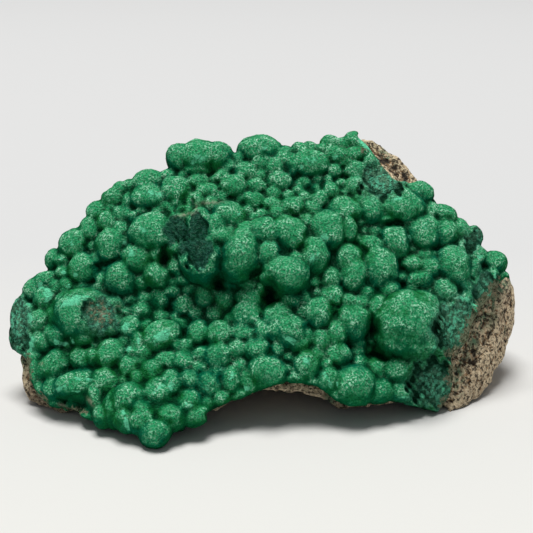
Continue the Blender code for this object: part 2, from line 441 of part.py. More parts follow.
def build_host_rock(where, cutters):
    mesh = bpy.data.meshes.new("host_rock")
    work = bmesh.new()
    for block in rock_blocks():
        part = hull(block)
        work.from_mesh(part)
        bpy.data.meshes.remove(part)
    work.to_mesh(mesh)
    work.free()
    rock = new_object("host_rock", mesh, where)
    remesh(rock, ROCK_VOXEL)
    roughen(rock, ROCK_ROUGHNESS)
    for arch in arches(cutters):
        cut(rock, arch)
    remesh(rock, ROCK_VOXEL)
    thin_out(rock, ROCK_FACES)
    cut(rock, floor_block(cutters))
    keep_largest_body(rock)
    rock.data.materials.append(principled("host_rock", (0.28, 0.19, 0.12), 0.9))
    return rock


def arches(cutters):
    """The hollow under the front edge: a wide arch and the low one beside it."""
    made = []
    for name, middle, half_sizes in (
        ("arch", (3, -26, -1), (22, 34, 9.8)),
        ("low_arch", (40, -26, -3), (20, 26, 6)),
    ):
        mesh = bpy.data.meshes.new(name)
        work = bmesh.new()
        bmesh.ops.create_uvsphere(work, u_segments=24, v_segments=12, radius=1)
        bmesh.ops.scale(work, vec=Vector(half_sizes) * MM, verts=work.verts)
        bmesh.ops.translate(work, vec=Vector(middle) * MM, verts=work.verts)
        work.to_mesh(mesh)
        work.free()
        made.append(as_cutter(new_object(name, mesh, cutters)))
    return made


def as_cutter(obj):
    obj.hide_render = True
    obj.display_type = "WIRE"
    return obj


def floor_block(cutters):
    """Everything below the surface that the stone stands on."""
    work = bmesh.new()
    bmesh.ops.create_cube(work, size=1)
    bmesh.ops.scale(work, vec=Vector((400, 300, 40)) * MM, verts=work.verts)
    bmesh.ops.translate(work, vec=Vector((0, 0, -20)) * MM, verts=work.verts)
    mesh = bpy.data.meshes.new("floor_block")
    work.to_mesh(mesh)
    work.free()
    return as_cutter(new_object("floor_block", mesh, cutters))


def crust_sheet():
    """The crust between the knobs: one even layer inside the rim."""
    grid = [
        (across, up)
        for across in range(-88, 88, RIM_GRID)
        for up in range(-60, 44, RIM_GRID)
    ]
    points = [Vector(point) for point in (*CRUST_RIM, *grid)]
    inside = geometry.delaunay_2d_cdt(points, [], [range(len(CRUST_RIM))], 1, 1e-6)
    mesh = bpy.data.meshes.new("crust_sheet")
    places = [sight(*point, skin_depth(*point) + SHEET_DEPTH) for point in inside[0]]
    mesh.from_pydata(places, [], inside[2])
    sheet = bpy.data.objects.new("crust_sheet", mesh)
    bpy.context.scene.collection.objects.link(sheet)
    wall = sheet.modifiers.new("Solidify", "SOLIDIFY")
    wall.thickness = CRUST_THICKNESS
    wall.offset = 0
    apply_modifiers(sheet)
    mesh = sheet.data
    bpy.data.objects.remove(sheet)
    return mesh


def knob_balls(work):
    """Each knob is two balls: its rounded front, and a stem behind it. Wide knobs are flatter domes."""
    for field in KNOBS.values():
        for across, up, half_width, half_height, turn, out in field:
            radius = math.sqrt(half_width * half_height)
            rise = radius * (DOME_RISE - DOME_FLATTENING * radius)
            depth = skin_depth(across, up) - KNOB_PROUD + KNOB_SUNK * radius - out
            sizes = Vector((half_width, rise, half_height)) * MM
            for behind, growth in ((0, KNOB_SPREAD), (STEM_BEHIND * radius, STEM_SPREAD)):
                matrix = ball_matrix(across, up, depth + behind, sizes * growth, turn)
                bmesh.ops.create_icosphere(work, subdivisions=2, radius=1, matrix=matrix)


def break_edges_and_faces(crust):
    """Presses the knobs back to the torn edges, and slices their fronts off at the broken faces."""
    for vertex in crust.data.vertices:
        across, up, depth = board_measures(vertex.co)
        for edge in TORN_EDGES:
            past = overhang(across, up, edge) * (1 - OVERHANG_KEPT)
            across -= past.x
            up -= past.y
        for patch in BROKEN_FACES:
            x, z, _, _, _, behind, slope_across, slope_up = patch
            share = min(max((FACE_REACH - apart(across, up, patch)) / FACE_FADE, 0), 1)
            face = skin_depth(x, z) + behind + slope_across * (across - x) + slope_up * (up - z)
            depth += share * max(face - depth, 0)
        vertex.co = sight(across, up, depth)


def build_crust(rock, where, cutters):
    """Every knob with its stem, run together into one skin and fitted over the rock."""
    mesh = bpy.data.meshes.new("malachite_crust")
    work = bmesh.new()
    work.from_mesh(crust_sheet())
    knob_balls(work)
    work.to_mesh(mesh)
    work.free()
    crust = new_object("malachite_crust", mesh, where)
    remesh(crust, CRUST_VOXEL)
    break_edges_and_faces(crust)
    remesh(crust, CRUST_VOXEL)
    thin_out(crust, CRUST_FACES)
    bed = as_cutter(new_object("rock_bed", rock.data.copy(), cutters))
    swell = bed.modifiers.new("Displace", "DISPLACE")
    swell.strength = SEAM
    swell.mid_level = 0
    apply_modifiers(bed)
    cut(crust, bed)
    cut(crust, floor_block(cutters))
    keep_largest_body(crust)
    crust.data.materials.append(principled("malachite_crust", (0.02, 0.16, 0.07), 0.75))
    return crust


def main():
    for obj in list(bpy.data.objects):
        bpy.data.objects.remove(obj)
    specimen = collection("malachite_specimen")
    cutters = collection("cutters", hidden=True)
    rock = build_host_rock(specimen, cutters)
    crust = build_crust(rock, specimen, cutters)
    for piece in (rock, crust):
        piece.data.transform(Matrix.Translation(-BOX_MIDDLE))
        piece.data.shade_smooth()
        piece.data.set_sharp_from_angle(angle=math.radians(40))


main()
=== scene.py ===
import math

import bmesh
import bpy
import numpy as np
from mathutils import Matrix, Vector, geometry


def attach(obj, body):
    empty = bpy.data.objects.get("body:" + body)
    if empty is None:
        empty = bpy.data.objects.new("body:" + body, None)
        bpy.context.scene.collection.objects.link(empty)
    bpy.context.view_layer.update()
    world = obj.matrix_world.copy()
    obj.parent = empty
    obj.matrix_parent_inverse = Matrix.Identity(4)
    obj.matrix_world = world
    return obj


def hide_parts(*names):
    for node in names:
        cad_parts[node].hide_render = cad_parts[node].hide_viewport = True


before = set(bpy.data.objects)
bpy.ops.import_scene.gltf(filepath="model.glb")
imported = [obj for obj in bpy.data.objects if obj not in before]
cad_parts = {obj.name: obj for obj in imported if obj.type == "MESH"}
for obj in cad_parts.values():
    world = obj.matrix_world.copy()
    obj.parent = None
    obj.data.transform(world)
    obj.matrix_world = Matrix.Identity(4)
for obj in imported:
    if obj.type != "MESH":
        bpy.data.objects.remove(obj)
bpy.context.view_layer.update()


# ---- Malachite crust ------------------------------------------------------------------------------
# One skin of round, velvety green knobs, each a ball of hair-fine fibres that grew into its neighbours.
# It is 5 to 10 mm thick, grown on the host rock, and broken off along its rim.

# The stone was set out on a board leaning back through its middle. Every knob keeps its bearing from
# one sighting point in front: across and up are millimetres on the board, depth is how far behind it.

MM = 0.001
BOARD_CENTRE = np.array((-1.79, 2.86, 47.0)) * MM
BOARD_TILT = math.radians(19)
SIGHT_LENGTH = 376 * MM
RIGHT = np.array((1.0, 0.0, 0.0))
RISE = np.array((0.0, math.sin(BOARD_TILT), math.cos(BOARD_TILT)))
AHEAD = np.array((0.0, math.cos(BOARD_TILT), -math.sin(BOARD_TILT)))


def sight(across, up, depth):
    """Places, in metres, from their board measures in mm: single numbers or whole columns of them."""
    across, up, depth = (np.asarray(measure, float)[..., None] for measure in (across, up, depth))
    reach = 1 + depth * MM / SIGHT_LENGTH
    return BOARD_CENTRE + (across * RIGHT + up * RISE) * MM * reach + AHEAD * depth * MM


def board_measures(places):
    """Across, up and depth in mm, each a column, of places in metres."""
    offset = (places - BOARD_CENTRE) / MM
    depth = offset @ AHEAD
    reach = 1 + depth * MM / SIGHT_LENGTH
    return offset @ RIGHT / reach, offset @ RISE / reach, depth


# Each knob: across, up, half width, half height, turn in degrees, and how far it stands out.
KNOBS = {
    "left_end": (
        (-67, 7.5, 5.2, 4.8, 20, 0), (-75, 2.5, 2.4, 3.2, 0, -1), (-71.5, 2, 2.6, 2.6, 0, 0),
        (-64, -1.5, 4.9, 5.2, 0, 0.3), (-70.5, -2.5, 3.2, 2.6, 0, 0), (-69.5, -7.5, 3.4, 3.2, 0, 0),
        (-77.5, -5, 4, 2.7, 15, 0), (-81.5, -8, 3, 3.8, -30, 0), (-74, -8.5, 2.6, 3.6, 0, -0.5),
        (-77.5, -12, 3.8, 4.2, 0, 0), (-64.5, -8.5, 3.8, 2.4, 0, 0), (-58.5, -8.5, 3.5, 2.4, 0, 0),
        (-69.5, -14, 5, 4.5, 20, 0.5), (-73.5, -16.5, 3.5, 3, 0, 0), (-71.5, -19.5, 4.2, 2.8, 0, -0.5),
        (-79, -19.5, 4.3, 3.8, 0, 0), (-83.5, -17, 2.8, 3.8, 0, 0), (-86, -16, 3, 5, -20, -1),
        (-86.5, -24, 3, 6, 0, -1), (-83, -26.5, 3.4, 4, 0, 0), (-78.5, -26.5, 3.8, 3.6, 0, 0),
        (-73, -24, 4, 3.5, 0, 0.3), (-68, -22.5, 3.8, 3, 0, 0), (-63.5, -24.5, 5, 4, 0, -0.5),
        (-63, -17.5, 9.5, 8, -8, 1), (-60.5, -14, 5, 4, 0, 0.5), (-54.5, -14.5, 4, 4, 0, 0),
        (-55, -21, 4.5, 4, 0, 0), (-66.5, -18.5, 3.2, 3.4, 0, 0),
    ),
    "left_foot": (
        (-80.5, -32, 3.2, 2.5, 0, -0.5), (-81, -38.5, 2.4, 5, 0, 0), (-77.5, -36.5, 3, 4.4, -20, 0.3),
        (-73.5, -35, 4.8, 5.4, -25, 0.5), (-69.5, -32, 2.8, 3.2, 0, -0.5), (-64.5, -32.5, 4.2, 4.4, 0, 0),
        (-60, -31.5, 3.6, 4, 0, 0.3), (-54.5, -31.5, 5, 5, 0, 0.5), (-69, -39, 3, 2.4, 0, 0),
        (-66, -41.5, 7.2, 4.2, 12, 1), (-74, -43.5, 3.7, 3.8, 0, 0.5), (-56, -41.5, 5, 4.8, 0, 0),
        (-59.5, -46.5, 3.2, 5.2, 0, 0), (-57.3, -52.5, 3, 3.4, 0, 0), (-53.5, -50, 3, 5.5, 0, 0),
        (-78.5, -43.5, 3, 3.2, 0, -0.5), (-74, -47.6, 2.8, 1.8, 10, -0.8), (-62.5, -51.3, 2.6, 2.4, 0, -0.8),
    ),
    "left_shoulder": (
        (-61.5, 12.5, 3.4, 4.3, 0, 0), (-59, 19, 3.5, 3.5, 0, 0), (-55.5, 15.5, 3.6, 3.6, 0, 0.3),
        (-53.5, 23.8, 3.8, 3, 0, 0), (-51, 27, 2.7, 2.2, 0, 0), (-47.8, 28, 2.4, 2.2, 0, 0),
        (-50, 18, 3.6, 3, 0, 0), (-54.5, 20.5, 2.4, 1.8, 0, 0), (-48, 22.5, 2.4, 3, 0, 0),
        (-46.5, 16.5, 2.6, 3, 0, -0.5), (-51, 12.5, 3, 3, 0, 0), (-54, 7, 5.2, 5.6, 0, 0.5),
        (-49.5, 8, 2.4, 3.2, 0, 0), (-41, 29, 5.2, 4.2, 0, -0.5), (-40.5, 24, 5.9, 4.4, 0, 0.8),
        (-31.5, 26, 4.9, 5, 0, 0.3), (-34.5, 32, 3.2, 2, 15, -1), (-31.5, 22, 2.8, 2.2, 0, 0),
        (-35, 20.5, 2.8, 2.4, 0, 0), (-38, 18, 2.8, 2.6, 0, 0), (-33, 18.8, 2.4, 2, 0, 0),
        (-43, 19, 3, 2.6, 0, -0.3), (-40, 11.5, 7.2, 5.8, -8, 1.5), (-33, 12, 3, 4.5, 0, 1),
        (-45, 2.5, 5.2, 4.6, 0, 0.5), (-38.5, -3, 4.7, 4.2, 0, 0), (-50.5, -4, 5.2, 5.6, 0, 0.8),
        (-44, -5, 3, 3, 0, 0), (-44, -8.7, 3, 2, 0, -0.5), (-48, -12, 3.2, 2.4, 0, -0.5),
        (-57, -5, 3, 3.2, 0, -0.5),
    ),
    "crest_left": (
        (-30.3, 38, 4, 4.2, 0, 0), (-23, 38.4, 6.5, 5.1, 0, 0.8), (-17, 37.8, 4.3, 5.2, 0, 0),
        (-24, 34.5, 5.5, 3, 0, -0.5), (-24, 29.7, 3.8, 2.6, 0, 0), (-20.3, 26, 4, 3, 0, 0),
        (-11, 27, 4.5, 4.3, 0, 0.3), (-15.5, 31.5, 2.9, 2.8, 0, 0), (-13.5, 34.7, 2.5, 2.4, 0, 0),
        (-18, 30.5, 2, 2, 0, -0.5), (-2.5, 40.6, 6.6, 4.6, 0, 0), (-7.3, 39.6, 2.3, 2.3, 0, -0.3),
        (-1.3, 36.2, 4.3, 3.2, 0, 0), (6.2, 39.6, 2.6, 2.2, 0, 0), (-7, 32.5, 3.9, 3.5, 0, 0),
        (-2, 31.8, 2.6, 2.6, 0, 0), (-3.8, 28, 3.6, 2.9, 0, 0), (4.3, 29.5, 4, 3.4, 0, 0.3),
        (2.6, 25.8, 3, 2.6, 0, 0), (-4.7, 22.5, 3.6, 3.2, 0, 0), (-9, 23, 2.2, 2.2, 0, -0.5),
        (1.7, 21.6, 3.8, 2.3, 0, 0), (-1.5, 18.4, 2.1, 1.6, 0, 0), (3.4, 18.2, 2.8, 2.7, 0, 0),
        (9, 20.5, 3.6, 3.7, 0, 0.3), (7.5, 24.6, 2.3, 2, 0, 0), (-7, 18.5, 2.2, 2.2, 0, -0.5),
    ),
    "shelf": (
        (-13, 17.3, 5.6, 4.2, -32, 1), (-18, 14, 3.8, 3.8, 0, 1), (-15, 10.3, 4.2, 3.2, 0, 0.5),
        (-23.5, 14.5, 3.4, 5, 0, 0.5), (-22.3, 2.5, 6.2, 7, -8, 1), (-27.5, 4.5, 3, 4.5, 0, 0),
        (-9.3, 4, 5.6, 7.6, -8, 1.5), (-7.5, 11, 3.4, 3.8, 0, 0.5), (-0.5, 11, 5.2, 5, 0, 1),
        (7, 11, 6, 5.6, 0, 1), (0.3, 4, 3.9, 4.6, 0, 0.5), (11.5, 8.5, 2.8, 3.5, 0, 0),
        (-31.5, 0.5, 3.2, 2.8, 0, -1.5), (-13.5, -4.5, 2, 2.3, 0, -1), (-28.5, -4.5, 3.2, 2.2, 0, -1),
    ),
    "crest_right": (
        (11.5, 41, 2.3, 2, 0, 0), (15.3, 41.4, 2.3, 2.1, 0, 0), (18.5, 40.8, 2.1, 1.9, 0, -0.3),
        (15, 35.5, 6.1, 4.5, 0, 0.8), (9.3, 35, 3.4, 4.2, 0, 0), (5.5, 36.5, 3.2, 3.4, 0, 0),
        (2.8, 34.6, 3.8, 3.4, 0, 0), (12.5, 29, 3, 2.1, 0, -0.3), (10.8, 26.5, 2, 1.9, 0, -0.3),
        (17, 27, 2, 1.7, 0, -0.3), (18.3, 23.3, 3.6, 3, 0, 0), (16, 19.5, 3, 3.2, 0, 0),
        (22.4, 25.8, 3.1, 3.1, 0, 0.3), (21.5, 30.3, 1.9, 1.9, 0, 0), (23.7, 33.5, 2.6, 2.6, 0, 0),
        (26.2, 28.7, 2, 1.8, 0, -0.3), (27.7, 25.5, 2, 1.7, 0, -0.3), (31.3, 33.5, 4, 3.2, 0, 0),
        (31.5, 27.5, 4, 3.6, 0, 0), (33, 22.6, 3.2, 2.6, 0, 0), (22.5, 43.2, 2.7, 2.3, 0, 0),
        (26.5, 43.2, 2.3, 1.9, 0, 0), (30.3, 44.5, 2.8, 2.5, 0, 0), (24.5, 39, 4.8, 3, 0, 0),
        (31, 39.5, 3.4, 3, 0, 0), (27.5, 36.5, 2.8, 2, 0, 0), (34.5, 41.5, 3.5, 2.6, -40, 0),
        (36.5, 36.5, 3, 3, 0, 0), (38.5, 30, 4, 4, 0, 0), (44.5, 29, 4, 2.5, 0, -0.3),
    ),
    "middle": (
        (27, 19, 5.6, 4.4, 0, 0.5), (21, 12, 5.9, 6.4, 0, 0.8), (28, 12.5, 3.6, 4.6, 0, 0.5),
        (16, 3, 4.8, 6.1, 0, 0.8), (16.5, -4.5, 2.6, 2.6, 0, -0.5), (13.3, -6, 2, 2.9, 0, 0),
        (22.5, 2.5, 1.8, 2.2, 0, -1), (22, -4.2, 3.4, 3.8, 0, 0.3), (28.5, 2, 4.5, 5, 0, 0.3),
        (30.5, -3.5, 5.2, 5.2, 0, 0.3), (36.5, 7, 4.2, 3.4, 0, 0), (39.7, -1.5, 5.6, 7, 0, 0.8),
        (45, 8, 4.9, 5.8, 15, 0.3), (36.4, 19.4, 4.5, 5, 0, 0.3), (38, 12, 3.4, 2, 0, -1),
        (34.3, 12.5, 2, 1.8, 0, -1), (47.3, 21, 7.3, 5.6, 0, 1), (53.5, 25.6, 4.4, 3.5, -15, -0.3),
        (57, 19.3, 3.2, 2.9, 0, 0), (62, 18.3, 4, 3, -15, 0),
    ),
    "right_field": (
        (55, 11.5, 5.9, 5.4, 0, 0.8), (62, 11, 4.6, 5, 0, 0.3), (67.3, 12.3, 3.5, 3.9, 0, -0.3),
        (72.5, 10, 2.8, 3.8, -20, -0.3), (70, 5.8, 4, 3.1, 0, 0), (74, 3.5, 3, 3, 0, -0.3),
        (51, 0.5, 4.1, 3.7, 0, 0), (55.5, 4, 3.6, 2.4, 0, 0), (56.7, -1, 3.9, 4.1, 0, 0.3),
        (53.5, -5, 4.6, 3.4, 0, 0), (46.8, -3.6, 2.4, 2.2, 0, -0.3), (65.3, -0.3, 5.8, 6.4, 0, 0.8),
        (68, -5, 3.2, 3, 0, 0), (73, -1.5, 2.6, 3.6, 0, -0.3), (75.7, -6, 3, 3.6, 0, -0.3),
        (80, 1.3, 3.7, 3.6, 0, 0), (79, -4, 2.6, 3.2, 0, 0), (70.7, -7.5, 3.4, 2.8, 0, 0),
        (58.7, -6.5, 2.5, 2.2, 0, 0), (62, -9, 4.4, 4.1, 0, 0.3), (50.5, -8.8, 3, 1.6, 0, -0.5),
        (77, -11, 2.8, 4, 0, -0.3), (70.5, -12, 4.2, 2.8, -20, 0.3), (66, -16, 4.5, 4, 0, 0),
        (71.5, -17.5, 3.5, 4, 0, 0), (65.5, -23, 5, 5, 0, 0), (69.5, -24, 3, 4, 0, 0),
        (60.3, -21, 3.6, 5.2, 0, 0), (61.5, -28, 4, 3.4, 0, 0),
    ),
    "recess": (
        (-31.5, -5.3, 3.6, 1.8, 0, -1), (-33, -8.3, 3.7, 2.9, 0, 0), (-37.7, -11.3, 4.2, 4.3, 0, 0.3),
        (-42.6, -11.6, 3.4, 3.1, 0, 0), (-44.2, -16, 3.8, 3, 0, 0), (-37.2, -18, 3.4, 2.7, 0, 0),
        (-32, -18.3, 2.3, 2.1, 0, 0), (-31, -21.2, 3.3, 2.6, 0, 0), (-28.8, -14.1, 4.3, 4.3, 0, 0.6),
        (-21.8, -10.6, 3.5, 4.3, 0, 0.3), (-24.6, -17.5, 3, 3.1, 0, 0), (-20.9, -17.8, 2, 2, 0, -0.5),
        (-18, -17.6, 3.2, 3.2, 0, 0), (-13.6, -12, 4.1, 4.2, 0, 0), (-17.7, -8.5, 2, 2.6, 0, -1),
        (-6, -5.9, 4, 2.4, 0, -1), (-10.7, -6, 2, 2, 0, -1), (-5.6, -11.2, 5, 4, 0, 0.8),
        (-6.4, -18.3, 5.5, 5.2, 0, 0.8), (-12, -19.7, 2.6, 3, 0, 0), (-7.5, -23.3, 4.6, 2.8, 0, 0.3),
        (-16.4, -24.5, 4.1, 4.3, 0, 0.3), (-23.6, -24, 3.4, 4.1, 0, 0),
    ),
    "left_face": (
        (-37, -25, 6.2, 4.7, 20, 1.2), (-47.8, -22, 3.4, 3.8, 0, 0.3), (-45.3, -27, 2.6, 3.4, 0, 0),
        (-42.5, -22, 2.5, 3, 0, 0), (-46.7, -30, 2.8, 2.4, 0, 0), (-43, -30.5, 3, 2.3, 0, 0),
        (-28, -28, 2.5, 2.5, 0, 0), (-34.3, -33.2, 4, 2.7, 0, 0), (-29.3, -33.8, 3.9, 3.4, 20, 0.3),
        (-37.5, -34, 2.3, 2.6, 0, 0), (-40.4, -37.6, 3.5, 4.1, 15, 0.3), (-45, -40.3, 2.8, 3.4, 0, -0.3),
        (-48, -36, 3.2, 4, 0, 0), (-44, -34, 2.4, 2, 0, 0), (-31, -28, 2, 2.5, 0, -0.3),
    ),
    "lower_face": (
        (-22, -31.4, 3.2, 2.6, 0, 0), (-23.3, -35.8, 3.1, 2.2, 0, 0), (-16.4, -32.3, 4.4, 4.3, 0, 0.5),
        (-17, -37.5, 3.2, 2.8, 0, 0), (-10.4, -30, 3.3, 3.7, 0, 0), (-9.5, -35, 2.9, 3, 0, 0),
        (-12.3, -40.3, 3.1, 4.3, 0, 0.3), (-3.3, -29.6, 4, 3.9, 0, 0.3), (-1.3, -23.2, 3, 3.9, 0, 0),
        (4, -18.5, 4.8, 4.8, 0, 0.8), (8, -23, 5.3, 5.2, 0, 0.8), (3.5, -23, 4, 4, 0, 0.3),
        (11, -27, 3.4, 3.2, 0, 0), (4, -29, 2.4, 2.9, 0, -0.3), (0, -37, 5.8, 5.1, 0, 0.8),
        (-6.6, -39.8, 3.3, 4.2, 10, 0), (7.5, -31.5, 2, 1.9, 0, -0.3), (4.6, -33.3, 1.7, 1.7, 0, -0.3),
        (7, -35.8, 1.8, 1.7, 0, -0.3), (9.8, -33, 1.7, 2, 0, -0.3), (9.6, -37, 1.9, 1.8, 0, -0.3),
        (10.5, -39.3, 3.4, 1.8, 0, 0), (14, -25.5, 2.6, 3.2, 0, -0.3),
    ),
    "promontory": (
        (-38, -44.8, 4.6, 4.8, 35, 0.6), (-33.8, -42.2, 3.6, 4.5, 0, 0.6), (-27.2, -40.7, 3.8, 3.7, 0, 0),
        (-20.4, -42.5, 4.1, 4.1, 0, 0.3), (-27.7, -48.4, 4, 4, 0, 0.3), (-33.8, -53, 4.1, 4.1, 0, 0.3),
        (-25, -52.7, 4, 2.9, 20, 0), (-21.7, -48, 2.4, 1.9, 0, 0), (-16.3, -46.2, 3, 2.3, 0, 0),
        (-39, -58.6, 4.3, 4, 0, 0.5), (-36.3, -56.5, 2.8, 2.8, 0, 0), (-43.4, -53.6, 4.1, 4.7, 0, 0),
        (-47.6, -47.6, 5.5, 5.6, 0, 0.8), (-49, -54, 3.6, 4, 0, 0),
    ),
    "lower_right": (
        (6.5, -3, 7.1, 5.4, -5, 0.8), (9, 2, 3.4, 3, 0, 0), (8.3, -11.6, 3.8, 3.3, 0, 0),
        (13, -11.2, 2.8, 3.4, 0, 0), (12.7, -17, 3.2, 3.2, 0, -0.3), (22.4, -10.8, 4.3, 4, -20, 0),
        (17.9, -17.2, 4.6, 5.4, 0, 0.6), (28.6, -12, 3.4, 3, 0, 0), (32.3, -13, 3.6, 3, 0, 0),
        (35, -9, 3.3, 2.9, 0, -0.3), (29.8, -20, 5.2, 5.6, 0, 0.8), (24, -24, 3.6, 4.3, 0, 0),
        (18.8, -26, 3.8, 3.5, 0, -0.2), (38.6, -15, 4, 4.8, -35, 0), (43, -9.3, 3.6, 3.8, -40, 0),
        (24.6, -31.2, 4.3, 3.4, 0, 0.2), (17.3, -30.5, 3.3, 2.4, 0, 0), (14, -34.7, 4.2, 4.6, 0, 0.5),
        (20.6, -34.8, 3, 2.9, 0, 0), (21.6, -39.8, 3.6, 4.1, 0, 0.2), (30.7, -42.2, 6.2, 6, 0, 0.8),
        (32.3, -34, 3.4, 2.9, 0, 0), (31, -30, 3, 1.8, 0, -0.3), (35, -29.5, 2.4, 2.4, 0, -0.5),
        (27, -35, 2.4, 1.7, 0, 0), (38, -37, 3.5, 4.3, 0, 0), (45, -36.7, 4.9, 4, 0, 0),
        (39.3, -43.7, 4.5, 3.6, 0, 0), (47, -43.7, 5.2, 3.4, 0, 0),
    ),
    "cluster_right": (
        (53.8, -15.3, 5.8, 5.6, 0, 1.4), (45.5, -21.5, 6.4, 7.4, 0, 1.6), (54, -26, 5.2, 5.6, 0, 1.2),
        (50, -20.5, 9, 9.8, 0, 1),
    ),
    "right_foot": (
        (56, -37, 4.5, 4.5, 0, 0), (61.5, -35, 3.8, 3.5, 0, 0), (57, -43, 5, 4.5, 0, 0),
        (62.5, -44, 3, 4.5, 0, 0), (60, -48, 4, 2.8, 0, 0),
    ),
}

# Where the skin stands out of its even slope or dips into it:
# across, up, half width, half height, and how far out towards the eye.
SWELLS = (
    (-42, -60, 22, 20, 9),  # the front foot
    (-12, 8, 30, 14, 7),  # the overhanging shelf
    (-24, -14, 24, 9, -7),  # the hollow under it
    (6, -4, 10, 8, 4),
    (4, -24, 24, 12, 3),  # the belly over the arch
    (50, -22, 12, 12, 5),  # the cluster at the right
    (38, -28, 7, 9, -6),  # the hollow beside the cluster
    (62, -48, 16, 14, -7),  # the right foot
    (-64, -20, 16, 9, 3),  # the broken lump
)

CRUST_RIM = (
    (-89, -22), (-86, -12), (-80, -5), (-74, -2), (-73, 4), (-66, 11), (-61, 17), (-58, 22), (-51, 26),
    (-41, 30), (-31, 32), (-27, 37), (-18, 39), (-14, 36), (-8, 38), (-2, 41), (7, 39), (15, 40), (24, 42),
    (31, 43), (37, 40), (42, 35), (46, 31), (51, 28), (58, 24), (66, 15), (73, 11), (77, 3), (80, 1),
    (83, -4), (80, -8), (77, -12), (73, -17), (70.5, -22), (69.5, -26), (65, -30), (65, -39), (63, -45),
    (60, -50), (49, -46), (38, -46), (27, -46.5), (17, -40.5), (9, -39.5), (-1, -41), (-10, -45),
    (-22, -50), (-32, -55), (-39, -59), (-43, -56), (-53, -53), (-62, -52), (-68, -50.5), (-74, -48.5),
    (-79, -45), (-82, -39), (-84, -32),
)


def skin_depth(across, up):
    """How far behind the board the crust's skin lies: it slopes back and rounds off at the ends."""
    end = (across + 5) / 80
    depth = -3 + 0.30 * up + np.where(across < -5, 13, 10) * end * end
    for x, z, half_width, half_height, out in SWELLS:
        depth = depth - out * np.exp(-(((across - x) / half_width) ** 2) - ((up - z) / half_height) ** 2)
    return depth


def places_of(mesh):
    flat = np.empty(len(mesh.vertices) * 3, np.float32)
    mesh.vertices.foreach_get("co", flat)
    return flat.reshape(-1, 3).astype(float)


def move_to(mesh, places):
    mesh.vertices.foreach_set("co", places.astype(np.float32).ravel())
    mesh.update()


def mark(mesh, name, values):
    """Stores one number for each point of the mesh, for its material to read."""
    layer = mesh.attributes.get(name) or mesh.attributes.new(name, "FLOAT", "POINT")
    layer.data.foreach_set("value", np.asarray(values, np.float32))


def new_object(name, mesh):
    made = bpy.data.objects.new(name, mesh)
    bpy.context.scene.collection.objects.link(made)
    return made


def bake_modifiers(piece):
    """Turns a piece's modifiers into its own plain mesh."""
    graph = bpy.context.evaluated_depsgraph_get()
    mesh = bpy.data.meshes.new_from_object(piece.evaluated_get(graph))
    piece.modifiers.clear()
    piece.data = mesh
    return mesh


def crust_sheet(grid_step, front, thickness):
    """The layer that the knobs stand on, inside the rim, as one closed plate."""
    grid = [(x, z) for x in np.arange(-88, 88, grid_step) for z in np.arange(-60, 44, grid_step)]
    points = [Vector(point) for point in (*CRUST_RIM, *grid)]
    flat = geometry.delaunay_2d_cdt(points, [], [range(len(CRUST_RIM))], 1, 1e-6)
    across, up = np.array([tuple(point) for point in flat[0]]).T
    mesh = bpy.data.meshes.new("crust_sheet")
    mesh.from_pydata(sight(across, up, skin_depth(across, up) + front).tolist(), [], flat[2])
    sheet = new_object("crust_sheet", mesh)
    wall = sheet.modifiers.new("wall", "SOLIDIFY")
    wall.thickness = thickness * MM
    wall.offset = -1
    bake_modifiers(sheet)
    return sheet


# Flat faces where the knobs' fronts were knocked off: across, up, half width, half height, turn, how far
# the middle lies behind the skin, and how much it slopes back per mm across and per mm up.
BROKEN_FACES = (
    (-31.5, 13, 4.2, 5.0, 0, -4.2, 0.3, 0.2),  # under the thin rim, upper left
    (-24, 14, 3.6, 5.4, 0, -4.4, -0.2, 0.2),
    (-27.5, 9, 4.2, 6.0, 0, -3.8, 0.0, 0.2),
    (-23.5, 4.5, 4.6, 6.0, -10, -5.2, -0.5, 0.2),
    (41, 30.5, 7.5, 6, 0, -2.8, 0.15, 0.2),  # the smooth three-cornered face, top right
    (73.5, 9.5, 3, 4.8, -30, -2.4, 0.4, 0.1),
    (60, -41, 8.5, 8.5, 0, -2.4, 0.3, 0.0),  # right foot
    (68, -21, 8, 10, -15, -2.2, 0.45, 0.0),  # broken edge at the right
    (78, -9, 5, 8, 15, -1.8, 0.5, 0.0),
    (-88, -20, 4.4, 10, 8, -1.4, -0.9, 0.0),  # left end
    (-58.5, -17, 6.5, 6, 0, -6.0, 0.2, 0.25),  # on the broken lump
)


def inside_rim(across, up):
    """Which board places lie inside the crust's rim, by counting the rim's edges to their right."""
    corners = np.array(CRUST_RIM, float)
    inside = np.zeros(across.shape, bool)
    for (x1, z1), (x2, z2) in zip(corners, np.roll(corners, -1, axis=0)):
        if z1 != z2:
            crossing = x1 + (x2 - x1) * (up - z1) / (z2 - z1)
            inside ^= ((z1 > up) != (z2 > up)) & (across < crossing)
    return inside


